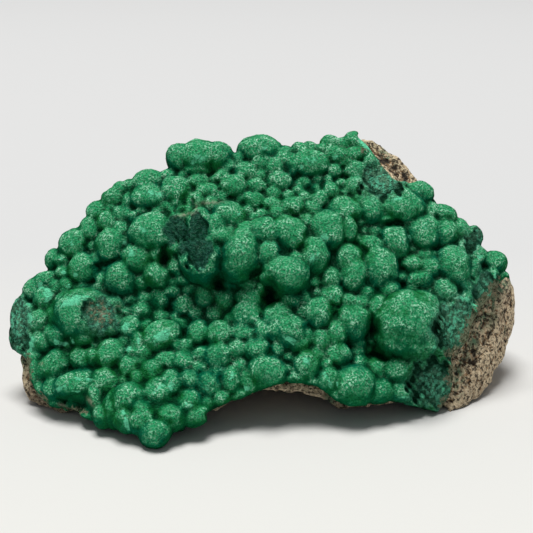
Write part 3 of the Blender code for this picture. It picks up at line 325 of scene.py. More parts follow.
# The black gaps between knobs that run deep into the crust: across, up, half width, half height, turn.
GAPS = (
    (-29.5, 19.9, 2, 1.1, 10), (-26, 23, 1, 1.8, 0), (-36, 3, 1.8, 2.8, 0), (-30.5, 4, 3, 1, 0),
    (-27.6, 11.8, 0.8, 2.3, 0), (-29, 6.8, 1.3, 1.8, 0), (1.5, -9.5, 2.2, 4.5, 0),
    (-1.6, -17.5, 0.7, 1.8, 0), (13.6, -21.5, 1, 1.3, 0), (16, -8, 1.3, 1.1, 0), (-3, 16.7, 1.4, 0.8, 0),
    (31.5, 7, 1.1, 1.1, 0), (45, 15, 3.5, 0.9, 0), (47.3, -1.3, 1.5, 1.1, 0), (39.5, -31.5, 2.6, 1.5, -15),
    (38, -22.5, 1.6, 2.5, 0), (-67, -49, 3.8, 2.3, -15), (-77.7, -41.2, 1.3, 0.7, -20),
    (-38.7, -53.7, 0.8, 1.5, 15), (7.3, -38.5, 0.9, 1.1, 0), (7, -33.8, 0.9, 0.8, 0),
    (-55, 1.4, 4.2, 0.8, 15), (77, -0.5, 0.8, 1.5, 0), (63, -38.8, 2.6, 0.9, 0), (-4, -2.5, 3, 1.2, 12),
    (-17, -5.8, 2.4, 2.2, 0), (28, -9, 1.6, 0.6, 0), (24.7, -16.5, 0.9, 0.9, 0), (67.5, -9.5, 1, 1, 0),
    (51.3, -40, 1.1, 2.4, 0), (-62.5, -28.3, 3, 0.6, 0), (-47.5, -31.5, 1, 0.8, -45),
)


def apart(across, up, patch):
    """How far places on the board lie from a patch's middle, in patch sizes: 1 is on its edge."""
    x, z, half_width, half_height, turn = patch[:5]
    cosine, sine = math.cos(math.radians(turn)), math.sin(math.radians(turn))
    along = (across - x) * cosine + (up - z) * sine
    over = (up - z) * cosine - (across - x) * sine
    return np.hypot(along / half_width, over / half_height)


SEARCH_STEP = 0.75  # how far apart the places are where a filling knob may sit, in mm
FILLER_OUT = -0.5  # a filling knob lies this much behind the listed ones, in mm


def packed_knobs(least, most, nestle, seed):
    """The listed knobs, then the largest that fits in each gap between them, over and over."""
    draw = np.random.default_rng(seed)
    knobs = [knob for field in KNOBS.values() for knob in field]
    across, up = np.meshgrid(np.arange(-92, 92, SEARCH_STEP), np.arange(-62, 46, SEARCH_STEP))
    inside = inside_rim(across, up)
    across, up = across[inside], up[inside]
    room = np.full(across.shape, most)
    for patch in (*BROKEN_FACES, *GAPS):
        room[apart(across, up, patch) < 1] = 0
    for knob in knobs:
        mean_radius = math.sqrt(knob[2] * knob[3])
        room = np.minimum(room, (apart(across, up, knob) - nestle) * mean_radius)
    while room.max() > least:
        wanted = draw.uniform(least, most)
        fits = np.nonzero(room >= min(wanted, room.max()))[0]
        at = fits[draw.integers(len(fits))]
        radius = room[at] / nestle
        filler = (across[at], up[at], radius, radius, 0, FILLER_OUT)
        knobs.append(filler)
        room = np.minimum(room, (apart(across, up, filler) - nestle) * radius)
    return np.array(knobs, float)


def mark_vectors(mesh, name, values):
    layer = mesh.attributes.new(name, "FLOAT_VECTOR", "POINT")
    layer.data.foreach_set("vector", np.asarray(values, np.float32).ravel())


SEAT_OUT = 1.8  # a knob's middle lies this far in front of the skin, in mm,
SEAT_SINK = 0.35  # less this share of its radius
STEM_SINK = 0.55  # its stem lies deeper again by this share
FRONT_SPREAD = 1.27  # a knob's ball over its seen size, because its neighbours cover its edge
STEM_SPREAD = 1.3


def knob_points():
    """Two points for each knob: one for its rounded front, one deeper for the stem that carries it.
    Each has its size along its own axes in metres and how it is turned."""
    knobs = packed_knobs(least=1.7, most=3.8, nestle=0.82, seed=7)
    across, up, half_width, half_height, turn, out = knobs.T
    mean_radius = np.sqrt(half_width * half_height)
    depth = skin_depth(across, up) - SEAT_OUT + SEAT_SINK * mean_radius - out
    stem_depth = depth + STEM_SINK * mean_radius
    centres = np.concatenate((sight(across, up, depth), sight(across, up, stem_depth)))
    rise = mean_radius * (1.1 - 0.03 * mean_radius)  # the larger a knob, the flatter
    sizes = np.stack((half_width, rise, half_height), axis=1) * MM
    lean = Matrix.Rotation(-BOARD_TILT, 3, "X")
    turns = [(lean @ Matrix.Rotation(-angle, 3, "Y")).to_euler() for angle in np.radians(turn)]
    mesh = bpy.data.meshes.new("knob_points")
    mesh.from_pydata(centres.tolist(), [], [])
    mark_vectors(mesh, "size", np.concatenate((FRONT_SPREAD * sizes, STEM_SPREAD * sizes)))
    mark_vectors(mesh, "turn", np.concatenate((turns, turns)))
    return new_object("knob_points", mesh)


def place(tree, kind, sockets=None, **settings):
    """Adds a node: sockets maps each input to a value or to the output that feeds it."""
    made = tree.nodes.new(kind)
    for name, value in settings.items():
        setattr(made, name, value)
    for name, value in (sockets or {}).items():
        if isinstance(value, bpy.types.NodeSocket):
            tree.links.new(value, made.inputs[name])
        else:
            made.inputs[name].default_value = value
    return made


def maths(tree, operation, *values, clamp=False):
    made = place(tree, "ShaderNodeMath", dict(enumerate(values)), operation=operation, use_clamp=clamp)
    return made.outputs[0]


def times(tree, first, second, clamp=False):
    return maths(tree, "MULTIPLY", first, second, clamp=clamp)


def plus(tree, first, second, clamp=False):
    return maths(tree, "ADD", first, second, clamp=clamp)


def vector_maths(tree, operation, sockets, output="Vector"):
    return place(tree, "ShaderNodeVectorMath", sockets, operation=operation).outputs[output]


def new_geometry_tree(name, inputs):
    """A Geometry Nodes tree with these inputs and a material: (tree, its input node's outputs)."""
    tree = bpy.data.node_groups.new(name, "GeometryNodeTree")
    tree.interface.new_socket("Geometry", in_out="INPUT", socket_type="NodeSocketGeometry")
    tree.interface.new_socket("Geometry", in_out="OUTPUT", socket_type="NodeSocketGeometry")
    for label, kind in {**inputs, "Material": "Material"}.items():
        tree.interface.new_socket(label, in_out="INPUT", socket_type="NodeSocket" + kind)
    return tree, place(tree, "NodeGroupInput").outputs


def end_tree(tree, shape, material):
    """Every tree ends alike: its instances made real, and its faces given the material."""
    real = place(tree, "GeometryNodeRealizeInstances", {0: shape}).outputs[0]
    clad = place(tree, "GeometryNodeSetMaterial", {"Geometry": real, "Material": material}).outputs[0]
    place(tree, "NodeGroupOutput", {0: clad})
    return tree


def run_tree(piece, tree, material, **values):
    """Puts the tree on the piece with these inputs, and keeps the mesh that it makes."""
    values["material"] = material
    step = piece.modifiers.new(tree.name, "NODES")
    step.node_group = tree
    for item in tree.interface.items_tree:
        key = item.name.replace(" ", "_").lower()
        if item.in_out == "INPUT" and key in values:
            step[item.identifier] = values[key]
    return bake_modifiers(piece)


def knob_tree():
    """Sets a ball on every knob point and small buds over the sheet between them, as one mesh."""
    tree, given = new_geometry_tree("grow_knobs", {
        "Knobs": "Object", "Bud Spacing": "Float", "Bud Least": "Float", "Bud Most": "Float", "Seed": "Int",
    })
    ball = place(tree, "GeometryNodeMeshIcoSphere", {"Radius": 1.0, "Subdivisions": 4}).outputs["Mesh"]
    bud = place(tree, "GeometryNodeMeshIcoSphere", {"Radius": 1.0, "Subdivisions": 2}).outputs["Mesh"]
    knobs = place(tree, "GeometryNodeObjectInfo", {"Object": given["Knobs"]}).outputs["Geometry"]
    size, turn = (
        place(tree, "GeometryNodeInputNamedAttribute", {"Name": name}, data_type="FLOAT_VECTOR").outputs[0]
        for name in ("size", "turn")
    )
    large = place(tree, "GeometryNodeInstanceOnPoints", {
        "Points": knobs, "Instance": ball, "Rotation": turn, "Scale": size,
    }).outputs["Instances"]
    seats = place(tree, "GeometryNodeDistributePointsOnFaces", {
        "Mesh": given["Geometry"], "Distance Min": given["Bud Spacing"], "Density Max": 90000.0,
        "Seed": given["Seed"],
    }, distribute_method="POISSON").outputs["Points"]
    bud_size = place(tree, "FunctionNodeRandomValue", {
        2: given["Bud Least"], 3: given["Bud Most"], "Seed": given["Seed"],
    }, data_type="FLOAT").outputs[1]
    buds = place(tree, "GeometryNodeInstanceOnPoints", {
        "Points": seats, "Instance": bud, "Scale": bud_size,
    }).outputs["Instances"]
    join = place(tree, "GeometryNodeJoinGeometry")
    for part in (given["Geometry"], large, buds):
        tree.links.new(part, join.inputs[0])
    return end_tree(tree, join.outputs[0], given["Material"])


def warp_tree():
    """Pushes every point sideways and in or out by a slow noise, so that no ball stays round."""
    tree, given = new_geometry_tree("warp_growth", {"Warp Size": "Float", "Warp Reach": "Float"})
    now = place(tree, "GeometryNodeInputPosition").outputs[0]
    scale = maths(tree, "DIVIDE", 1.0, given["Warp Size"])
    wave = place(tree, "ShaderNodeTexNoise", {"Vector": now, "Scale": scale, "Detail": 1.0}).outputs[1]
    swing = vector_maths(tree, "SUBTRACT", {0: wave, 1: (0.5, 0.5, 0.5)})
    shift = vector_maths(tree, "SCALE", {0: swing, "Scale": given["Warp Reach"]})
    moved = place(tree, "GeometryNodeSetPosition", {"Geometry": given["Geometry"], "Offset": shift})
    return end_tree(tree, moved.outputs[0], given["Material"])


def wear_tree():
    """Roughens a skin along its normals at three scales. Points marked shown as 0 stay put."""
    tree, given = new_geometry_tree("wear_surface", {
        "Lump Size": "Float", "Lump Height": "Float", "Ripple Size": "Float", "Ripple Height": "Float",
        "Grain Size": "Float", "Grain Height": "Float",
    })
    now = place(tree, "GeometryNodeInputPosition").outputs[0]
    normal = place(tree, "GeometryNodeInputNormal").outputs[0]
    height = None
    for kind in ("Lump", "Ripple", "Grain"):
        scale = maths(tree, "DIVIDE", 1.0, given[kind + " Size"])
        wave = place(tree, "ShaderNodeTexNoise", {"Vector": now, "Scale": scale, "Detail": 2.0})
        swing = maths(tree, "SUBTRACT", wave.outputs[0], 0.5)
        swing = times(tree, swing, given[kind + " Height"])
        height = swing if height is None else plus(tree, height, swing)
    shown = place(tree, "GeometryNodeInputNamedAttribute", {"Name": "shown"}, data_type="FLOAT").outputs[0]
    height = times(tree, height, shown)
    shift = vector_maths(tree, "SCALE", {0: normal, "Scale": height})
    moved = place(tree, "GeometryNodeSetPosition", {"Geometry": given["Geometry"], "Offset": shift})
    return end_tree(tree, moved.outputs[0], given["Material"])


def relief_tree():
    """Marks each point with how far it stands out of its smoothed surroundings: knob tops are above
    nought, the creases between knobs below it. "relief" is close by, "swell" is over a wider reach."""
    tree, given = new_geometry_tree("mark_relief", {})
    now = place(tree, "GeometryNodeInputPosition").outputs[0]
    normal = place(tree, "GeometryNodeInputNormal").outputs[0]
    flow = given["Geometry"]
    for name, rounds in (("relief", 8), ("swell", 60)):
        smooth = place(tree, "GeometryNodeBlurAttribute", {"Value": now, "Iterations": rounds},
                       data_type="FLOAT_VECTOR").outputs[0]
        rise = vector_maths(tree, "SUBTRACT", {0: now, 1: smooth})
        out_by = vector_maths(tree, "DOT_PRODUCT", {0: rise, 1: normal}, output="Value")
        store = place(tree, "GeometryNodeStoreNamedAttribute",
                      {"Geometry": flow, "Name": name, "Value": times(tree, out_by, 1 / MM)},
                      data_type="FLOAT", domain="POINT")
        flow = store.outputs[0]
    return end_tree(tree, flow, given["Material"])


def press_gaps(mesh, reach):
    """Presses the crust back, front and rear alike, at each deep gap."""
    across, up, depth = board_measures(places_of(mesh))
    for patch in GAPS:
        depth = depth + min(reach, patch[2] * patch[3]) * np.exp(-(apart(across, up, patch) ** 2))
    move_to(mesh, sight(across, up, depth))


# Where the crust's edge was torn off flush, each line drawn with the crust on its left: across, up.
TORN_EDGES = (
    ((-22, -51), (-10, -46.5), (0, -42.5), (5, -41), (17, -41), (20, -43.5), (25, -47.5), (30, -49),
     (40, -48.5), (50, -48.5), (60, -51), (64, -45), (65.5, -39.5), (65, -34.5),
     (63.8, -31), (68, -28.5), (70.5, -25.5), (71.3, -21), (74, -16), (77.3, -11), (80.5, -7), (84, -3)),
    ((52, 29.5), (47, 29.4), (43.3, 30.5), (41.5, 34), (39.5, 37.2), (35.5, 41.5), (31.5, 46)),
    ((-89, -29), (-84.5, -32), (-83, -40), (-80.5, -44.5), (-76, -49), (-70, -51), (-62, -54)),
)


TRIMMED = 5 / 6  # how much of what hangs over a torn edge is pressed back


def trim_edges(mesh):
    """Presses whatever hangs over a torn edge back towards it."""
    across, up, depth = board_measures(places_of(mesh))
    here = np.stack((across, up), axis=1)
    for line in TORN_EDGES:
        corners = np.array(line, float)
        nearest = np.full(len(here), np.inf)
        overhang = np.zeros_like(here)
        for start, end in zip(corners, corners[1:]):
            run = end - start
            share = ((here - start) @ run / (run @ run)).clip(0, 1)
            away = here - start - share[:, None] * run
            distance = np.hypot(*away.T)
            outside = away @ np.array((run[1], -run[0])) > 0
            closer = distance < nearest
            overhang[closer] = away[closer] * outside[closer, None]
            nearest = np.minimum(nearest, distance)
        for end, before in ((corners[0], corners[1]), (corners[-1], corners[-2])):
            overhang[(here - end) @ (before - end) < 0] = 0
        here -= overhang * TRIMMED
    move_to(mesh, sight(here[:, 0], here[:, 1], depth))


FACE_REACH = 1.2  # how far a broken face reaches, in patch sizes
FACE_EDGE = 0.3  # how much of that its crumbling edge takes up
FILLED = 1.5  # how deep a hollow a broken face levels up, in mm
BRUISED = 3  # how far behind a broken face the stone still shows its broken grain, in mm


def cut_broken_faces(mesh):
    """Slices the knobs back to each broken face, marks where, and gives back how broken each point is."""
    places = places_of(mesh)
    across, up, depth = board_measures(places)
    broken = np.zeros(len(across))
    ragged = 0.15 * np.sin(0.9 * across + 0.5 * up) + 0.12 * np.sin(0.6 * up - 1.3 * across)
    ragged = ragged + 0.08 * np.sin(2.3 * across + 1.9 * up)
    for patch in BROKEN_FACES:
        x, z, _, _, _, behind, slope_across, slope_up = patch
        share = np.clip((FACE_REACH - apart(across, up, patch) - ragged) / FACE_EDGE, 0, 1)
        face = skin_depth(x, z) + behind + slope_across * (across - x) + slope_up * (up - z)
        ahead_of_face = face - depth
        depth = depth + share * np.clip(ahead_of_face, -FILLED, None)
        broken = np.maximum(broken, share * np.clip(ahead_of_face + BRUISED, 0, 1))
    move_to(mesh, sight(across, up, depth))
    mark(mesh, "broken", broken)
    return broken


def voxel_skin(piece, voxel):
    """Runs everything in the piece together into one closed skin."""
    skin = piece.modifiers.new("skin", "REMESH")
    skin.mode = "VOXEL"
    skin.voxel_size = voxel
    bake_modifiers(piece)


def thin_out(piece, triangles):
    """Merges the smallest, flattest faces until the piece has this many triangles."""
    piece.data.calc_loop_triangles()
    fewer = piece.modifiers.new("thin", "DECIMATE")
    fewer.ratio = min(1, triangles / len(piece.data.loop_triangles))
    fewer.use_collapse_triangulate = True
    bake_modifiers(piece)


def keep_largest_body(piece):
    """Drops the sealed bubbles and crumbs that the skin leaves beside the main body."""
    mesh = piece.data
    ends = np.empty(len(mesh.edges) * 2, np.int32)
    mesh.edges.foreach_get("vertices", ends)
    first, second = ends.reshape(-1, 2).T
    label = np.arange(len(mesh.vertices))
    while True:
        lowest = np.minimum(label[first], label[second])
        before = label.copy()
        np.minimum.at(label, first, lowest)
        np.minimum.at(label, second, lowest)
        label = label[label]
        if (label == before).all():
            break
    main = np.bincount(label).argmax()
    work = bmesh.new()
    work.from_mesh(mesh)
    work.verts.ensure_lookup_table()
    crumbs = [work.verts[i] for i in np.nonzero(label != main)[0]]
    bmesh.ops.delete(work, geom=crumbs, context="VERTS")
    work.to_mesh(mesh)
    work.free()


def rest_on_floor(mesh):
    """Flattens whatever reaches below the floor."""
    places = places_of(mesh)
    places[:, 2] = np.maximum(places[:, 2], 0)
    move_to(mesh, places)


def new_shader_group(name, inputs, outputs):
    """A group of shader nodes with named inputs and outputs: (tree, its inputs, its output node)."""
    tree = bpy.data.node_groups.new(name, "ShaderNodeTree")
    for label, value in inputs.items():
        kind = "NodeSocketColor" if isinstance(value, tuple) else "NodeSocketFloat"
        tree.interface.new_socket(label, in_out="INPUT", socket_type=kind).default_value = value
    for label, kind in outputs.items():
        tree.interface.new_socket(label, in_out="OUTPUT", socket_type="NodeSocket" + kind)
    return tree, place(tree, "NodeGroupInput").outputs, place(tree, "NodeGroupOutput")


def sugar_group():
    """Sugary grain of fibre ends: bright flecks, and a height to match for the bump."""
    tree, given, out = new_shader_group(
        "sugary_grain", {"Size": 0.0005, "Level": 0.55, "Softness": 0.1},
        {"Flecks": "Float", "Height": "Float"},
    )
    spot = place(tree, "ShaderNodeTexCoord").outputs["Object"]
    scale = maths(tree, "DIVIDE", 1.0, given["Size"])
    fine = place(tree, "ShaderNodeTexNoise", {
        "Vector": spot, "Scale": scale, "Detail": 2.0, "Roughness": 0.7,
    })
    top = plus(tree, given["Level"], given["Softness"])
    flecks = place(tree, "ShaderNodeMapRange", {
        "Value": fine.outputs[0], "From Min": given["Level"], "From Max": top,
    })
    tree.links.new(flecks.outputs[0], out.inputs["Flecks"])
    tree.links.new(fine.outputs[0], out.inputs["Height"])
    return tree


def crease_group():
    """Masks for painted shade in the creases and for pale crests, read from how far the skin stands out: 1
    in a crease, 1 on a crest.
    """
    tree, given, out = new_shader_group(
        "creases_and_crests", {"Crease Depth": 0.1, "Crest Height": 0.1, "Reach": 0.3},
        {"Crease": "Float", "Crest": "Float"},
    )
    near = place(tree, "ShaderNodeAttribute", attribute_name="relief").outputs["Fac"]
    wide = place(tree, "ShaderNodeAttribute", attribute_name="swell").outputs["Fac"]
    both = plus(tree, near, times(tree, wide, given["Reach"]))
    sunk = maths(tree, "DIVIDE", times(tree, both, -1.0), given["Crease Depth"], clamp=True)
    proud = maths(tree, "DIVIDE", both, given["Crest Height"], clamp=True)
    tree.links.new(sunk, out.inputs["Crease"])
    tree.links.new(proud, out.inputs["Crest"])
    return tree


SUGAR = sugar_group()
CREASES = crease_group()


def use_group(tree, group, **values):
    made = place(tree, "ShaderNodeGroup", node_tree=group)
    for name, value in values.items():
        made.inputs[name.replace("_", " ").title()].default_value = value
    return made.outputs


def patchy(tree, spot, size, low, high, detail=3.0):
    """Soft-edged natural patches about this size, as a mask from 0 to 1."""
    cloud = place(tree, "ShaderNodeTexNoise", {
        "Vector": spot, "Scale": 1 / size, "Detail": detail, "Roughness": 0.6,
    }).outputs[0]
    edge = place(tree, "ShaderNodeMapRange", {"Value": cloud, "From Min": low, "From Max": high})
    return edge.outputs[0]


def blend_in(tree, share, under, over):
    """over laid on under wherever share says so; colours are given as red, green, blue."""
    mix = place(tree, "ShaderNodeMix", {"Factor": share}, data_type="RGBA", clamp_factor=True)
    for socket, colour in ((6, under), (7, over)):
        if isinstance(colour, bpy.types.NodeSocket):
            tree.links.new(colour, mix.inputs[socket])
        else:
            mix.inputs[socket].default_value = (*colour, 1)
    return mix.outputs[2]


def new_material(name):
    """(material, its tree, its shader, object coordinates)."""
    material = bpy.data.materials.new(name)
    material.use_nodes = True
    tree = material.node_tree
    spot = place(tree, "ShaderNodeTexCoord").outputs["Object"]
    return material, tree, tree.nodes["Principled BSDF"], spot


def attribute(tree, name):
    return place(tree, "ShaderNodeAttribute", attribute_name=name).outputs["Fac"]


# The greens of the stone, from the painted shade at the bottom of a crease to the rubbed tops, with the
# painted shade of the knobs' sides, the painted sheen and glints of their tops, and what clings to it.
CREASE_SHADE_GREEN = (0.0001, 0.025, 0.009)
SIDE_SHADE_AND_PIT_GREEN = (0.0002, 0.075, 0.024)
LEAF_GREEN = (0.010, 0.185, 0.038)
BLUE_GREEN = (0.001, 0.150, 0.078)
PAINTED_SHEEN_GREEN = (0.035, 0.42, 0.165)
GLINT_GREEN = (0.006, 0.28, 0.110)
PALE_GLINT_GREEN = (0.50, 1.0, 0.68)
MINT = (0.19, 0.90, 0.52)
FIBRE_ENDS = (0.006, 0.032, 0.025)
TEAL = (0.030, 0.130, 0.090)
WEATHERED_GREEN = (0.135, 0.35, 0.215)
MINT_GRAINS = (0.17, 0.74, 0.46)
EARTH = (0.09, 0.11, 0.06)
CREAM_DUST = (0.47, 0.47, 0.32)
SHELL = (0.34, 0.35, 0.25)


def knob_skin(tree, spot, crest):
    """Painted light on the knobs: painted shade, dark and saturated, at their sides, and a painted sheen,
    silky and pale, where they face out and up. Gives their colour, and how much painted sheen each open top
    takes."""
    open_face = place(tree, "ShaderNodeMapRange", {
        "Value": attribute(tree, "open_face"), "From Min": -0.15, "From Max": 1.0,
    }).outputs[0]
    cloud = place(tree, "ShaderNodeTexNoise", {"Vector": spot, "Scale": 180.0, "Detail": 3.0}).outputs[0]
    drift = times(tree, plus(tree, cloud, -0.5), 1.1)
    rise = times(tree, plus(tree, crest, -0.4), 0.25)
    # tone: painted light from how each knob faces, with a random drift and paler crests
    tone = plus(tree, plus(tree, open_face, drift), rise, clamp=True)
    top = times(tree, plus(tree, tone, -0.58), 2.2, clamp=True)
    body = blend_in(tree, patchy(tree, spot, 0.016, 0.40, 0.60), LEAF_GREEN, BLUE_GREEN)
    # Painted shade: a low tone darkens the knobs' sides and undersides to dark green.
    colour = blend_in(tree, times(tree, tone, 1.5, clamp=True), SIDE_SHADE_AND_PIT_GREEN, body)
    # Painted sheen: the open tops are paled to bright green.
    return blend_in(tree, top, colour, PAINTED_SHEEN_GREEN), top


def broken_grain(tree, spot, colour, broken):
    """Broken faces: dull dark fibre ends, weathered paler and crusted with mint grains in places."""
    torn = blend_in(tree, patchy(tree, spot, 0.0012, 0.42, 0.60, detail=5.0), FIBRE_ENDS, TEAL)
    colour = blend_in(tree, times(tree, broken, 0.95), colour, torn)
    weathered = attribute(tree, "weathered")
    worn = times(tree, weathered, patchy(tree, spot, 0.002, 0.34, 0.60))
    colour = blend_in(tree, times(tree, worn, 0.85, clamp=True), colour, WEATHERED_GREEN)
    grains = times(tree, weathered, patchy(tree, spot, 0.0015, 0.50, 0.56, detail=5.0))
    return blend_in(tree, times(tree, grains, 0.85, clamp=True), colour, MINT_GRAINS)


def fibre_glints(tree, spot, colour, flecks, top, broken):
    """Painted glints of the fibre ends, palest and thickest under the painted sheen on the open tops, and
    few on the broken faces.
    """
    whole = plus(tree, 1.0, times(tree, broken, -0.9))
    bloom = plus(tree, times(tree, patchy(tree, spot, 0.004, 0.46, 0.64), 0.90), 0.12)
    share = plus(tree, times(tree, times(tree, top, whole), bloom), times(tree, whole, 0.14))
    tint = blend_in(tree, times(tree, top, 1.3, clamp=True), GLINT_GREEN, PALE_GLINT_GREEN)
    return blend_in(tree, times(tree, flecks, share, clamp=True), colour, tint)


def earth_and_mint(tree, spot, colour, pits):
    """Earth beside the torn edges, mint where the skin is rubbed, pits, and a cream edge of broken shell."""
    crumbs = plus(tree, patchy(tree, spot, 0.0014, 0.3, 0.7), times(tree, attribute(tree, "earthy"), 1.4))
    crumbs = times(tree, plus(tree, crumbs, -0.95), 4.0, clamp=True)
    dust = blend_in(tree, patchy(tree, spot, 0.0008, 0.45, 0.6), EARTH, CREAM_DUST)
    colour = blend_in(tree, crumbs, colour, dust)
    chalk = place(tree, "ShaderNodeTexNoise", {"Vector": spot, "Scale": 700.0, "Detail": 3.0}).outputs[0]
    rubbed = plus(tree, chalk, times(tree, attribute(tree, "rubbed"), 0.88))
    rubbed = times(tree, plus(tree, rubbed, -0.76), 4.0, clamp=True)
    colour = blend_in(tree, times(tree, rubbed, 0.9), colour, MINT)
    pitted = times(tree, pits, plus(tree, 0.6, times(tree, rubbed, -0.35)))
    colour = blend_in(tree, pitted, colour, SIDE_SHADE_AND_PIT_GREEN)
    edge = times(tree, attribute(tree, "shell_edge"), patchy(tree, spot, 0.0014, 0.35, 0.5))
    return blend_in(tree, edge, colour, SHELL)


def malachite():
    material, tree, shader, spot = new_material("malachite")
    sugar = use_group(tree, SUGAR, size=0.0007, level=0.49, softness=0.10)
    pits = use_group(tree, SUGAR, size=0.0008, level=0.49, softness=0.12)
    folds = use_group(tree, CREASES, crease_depth=0.6, crest_height=0.5, reach=0.3)
    broken = attribute(tree, "broken")
    colour, top = knob_skin(tree, spot, folds["Crest"])
    colour = broken_grain(tree, spot, colour, broken)
    colour = fibre_glints(tree, spot, colour, sugar["Flecks"], top, broken)
    colour = earth_and_mint(tree, spot, colour, pits["Flecks"])
    # Painted shade: the creases are darkened to near-black green.
    colour = blend_in(tree, times(tree, folds["Crease"], 0.85), colour, CREASE_SHADE_GREEN)
    tree.links.new(colour, shader.inputs["Base Color"])
    roughness = plus(tree, 0.8, times(tree, sugar["Flecks"], -0.25))
    tree.links.new(roughness, shader.inputs["Roughness"])
    shader.inputs["Specular IOR Level"].default_value = 0.03
    grain = maths(tree, "SUBTRACT", sugar["Height"], pits["Height"])
    bump = place(tree, "ShaderNodeBump", {"Height": grain, "Distance": 0.0009, "Strength": 1.0})
    tree.links.new(bump.outputs[0], shader.inputs["Normal"])
    return material


CRUST_TRIANGLES = 196000
SHOWN_DEPTH = 2.5  # how far behind the skin its outer surface still weathers, in mm
WORN_LESS = 0.3  # how much less a broken face is worn than the knobs

points = knob_points()
crust = crust_sheet(grid_step=2, front=-0.5, thickness=6.3)
green = malachite()
run_tree(crust, knob_tree(), green, knobs=points, bud_spacing=3.2 * MM, bud_least=1.4 * MM,
         bud_most=2.1 * MM, seed=4)
run_tree(crust, warp_tree(), green, warp_size=10 * MM, warp_reach=2.2 * MM)
press_gaps(crust.data, 6)
trim_edges(crust.data)
voxel_skin(crust, 0.5 * MM)
keep_largest_body(crust)
broken = cut_broken_faces(crust.data)
across, up, depth = board_measures(places_of(crust.data))
shown = np.clip(skin_depth(across, up) + SHOWN_DEPTH - depth, 0, 1)
mark(crust.data, "shown", shown * (1 - WORN_LESS * broken))
run_tree(crust, wear_tree(), green, lump_size=4 * MM, lump_height=1.1 * MM, ripple_size=1.8 * MM,
         ripple_height=0.55 * MM, grain_size=0.8 * MM, grain_height=0.3 * MM)
rest_on_floor(crust.data)
thin_out(crust, CRUST_TRIANGLES)
run_tree(crust, relief_tree(), green)
crust.name = "crust_of_knobs"
crust.data.shade_smooth()
bpy.data.objects.remove(points)

# Where the skin is rubbed to pale mint, where earth fills it, and the thin cream edge of a broken shell:
# across, up, half width, half height, turn, strength.
RUBBED = (
    (-68, -12, 5, 1.5, 18, 1), (-77, -10, 1.8, 2.6, 0, 1), (-79.5, -7, 1, 1.6, 0, 0.8),
    (-83.3, -18, 1, 2, 0, 0.9), (-83.5, -13.5, 2.5, 1, 0, 0.6), (-83.2, -27, 1.8, 2.6, 0, 0.9),
    (-74, -26.5, 0.9, 1.2, 0, 0.9), (-71.5, -27.3, 1.8, 0.8, 15, 1), (-68.5, -26, 0.5, 1.5, 25, 0.8),
    (-66.3, -39.6, 1.3, 0.7, -20, 1), (-62.5, -39.8, 1.5, 0.6, -10, 1), (-67, -44, 3, 0.4, 0, 0.7),
    (-72.5, -43, 2.5, 1.2, 20, 0.7), (-49.5, -21.5, 1.2, 2, -20, 0.9), (-45, -26, 0.8, 1.6, 0, 0.9),
    (-48.5, -29, 1.5, 1, -20, 0.8), (-37, -24.5, 4, 2.2, 35, 0.8), (-38, -43, 3, 0.8, 40, 0.8),
    (-33.5, -42, 1.2, 2.5, 0, 0.7), (-20.8, -43, 1.5, 1.5, 0, 0.5), (-27.5, -49, 2, 1.5, 0, 0.5),
    (-49.3, -55, 1, 2.8, 15, 0.9), (-50.5, -51, 0.8, 1.4, 0, 0.7), (-12.3, -38.5, 1.3, 1.8, 0, 0.6),
    (-15.5, -36, 1.5, 0.7, 15, 0.7), (-7, -43, 1.2, 1.2, -30, 0.7), (8, -25.5, 2.4, 0.9, -20, 1),
    (9.8, -27.5, 0.8, 0.4, -40, 0.8), (14, -33.2, 1.8, 1.3, -20, 0.9), (20.5, -38, 0.8, 1.6, 25, 0.8),
    (22.3, -41, 0.9, 2, 20, 0.8), (25, -41, 0.6, 2, 0, 0.6), (22.8, -11, 0.5, 1, 35, 0.8),
    (16, 3, 2.5, 2.2, 0, 0.5), (18, 4.5, 0.8, 1.5, -20, 0.6), (1, 9, 3, 2.5, 0, 0.35),
    (-40, 25.5, 4, 2, 0, 0.55), (-44.5, 29, 1, 1, 0, 0.6), (-24, 38, 4.5, 2.2, 15, 0.5),
    (-43.5, 12.5, 1.5, 1.5, 0, 0.7), (-47.5, 5, 1.2, 2, 0, 0.7), (-9.8, 18.5, 0.7, 1, 40, 0.8),
    (20.3, 10, 1.6, 1.6, 0, 0.7), (12.5, 35.2, 0.8, 0.7, 0, 0.9), (10, 36.2, 0.5, 0.4, 0, 0.8),
    (24, 38.3, 1.8, 1, 10, 0.7), (35, 42.5, 4, 0.9, -40, 1), (46, 24, 3, 1.2, 10, 0.6),
    (55.5, 14.5, 2, 1.8, 0, 0.45), (50.5, 10, 0.5, 2, 25, 0.8), (48, 9, 0.4, 1.6, 30, 0.6),
    (75, 3.5, 1.4, 0.8, -40, 0.6), (80.5, -3, 0.5, 1.8, 0, 0.8), (70, -11.5, 2.5, 0.8, -15, 0.8),
    (73, -13.5, 1.2, 0.5, -30, 0.8), (62, -22.5, 0.4, 1.8, 15, 0.6), (59, -28.3, 1, 0.8, 0, 0.7),
    (54.8, -45.3, 1.2, 1, -30, 0.8), (57.3, -42.5, 0.9, 0.5, 0, 0.7), (62.5, -43.3, 1.3, 0.9, 0, 0.6),
    (48.5, -46, 2, 0.5, 0, 0.6), (-67, -3, 1, 0.8, 0, 0.9), (-71.5, -2, 1, 1, 0, 0.7),
    (-69.7, -7, 1, 1, 0, 0.6), (-68.5, 8.5, 0.5, 1.8, 0, 0.7), (-49.8, 8.2, 0.8, 1.3, 20, 0.9),
    (-72, 3, 1, 1, 0, 0.7), (-23, -0.8, 1.2, 0.5, -20, 0.8), (66, -18, 4, 5, 0, 0.35),
    (15, 37.5, 4, 2, 0, 0.42), (-1, 41.5, 3.5, 1.6, 10, 0.4), (-9, 6.5, 2.2, 2.6, 0, 0.38),
)
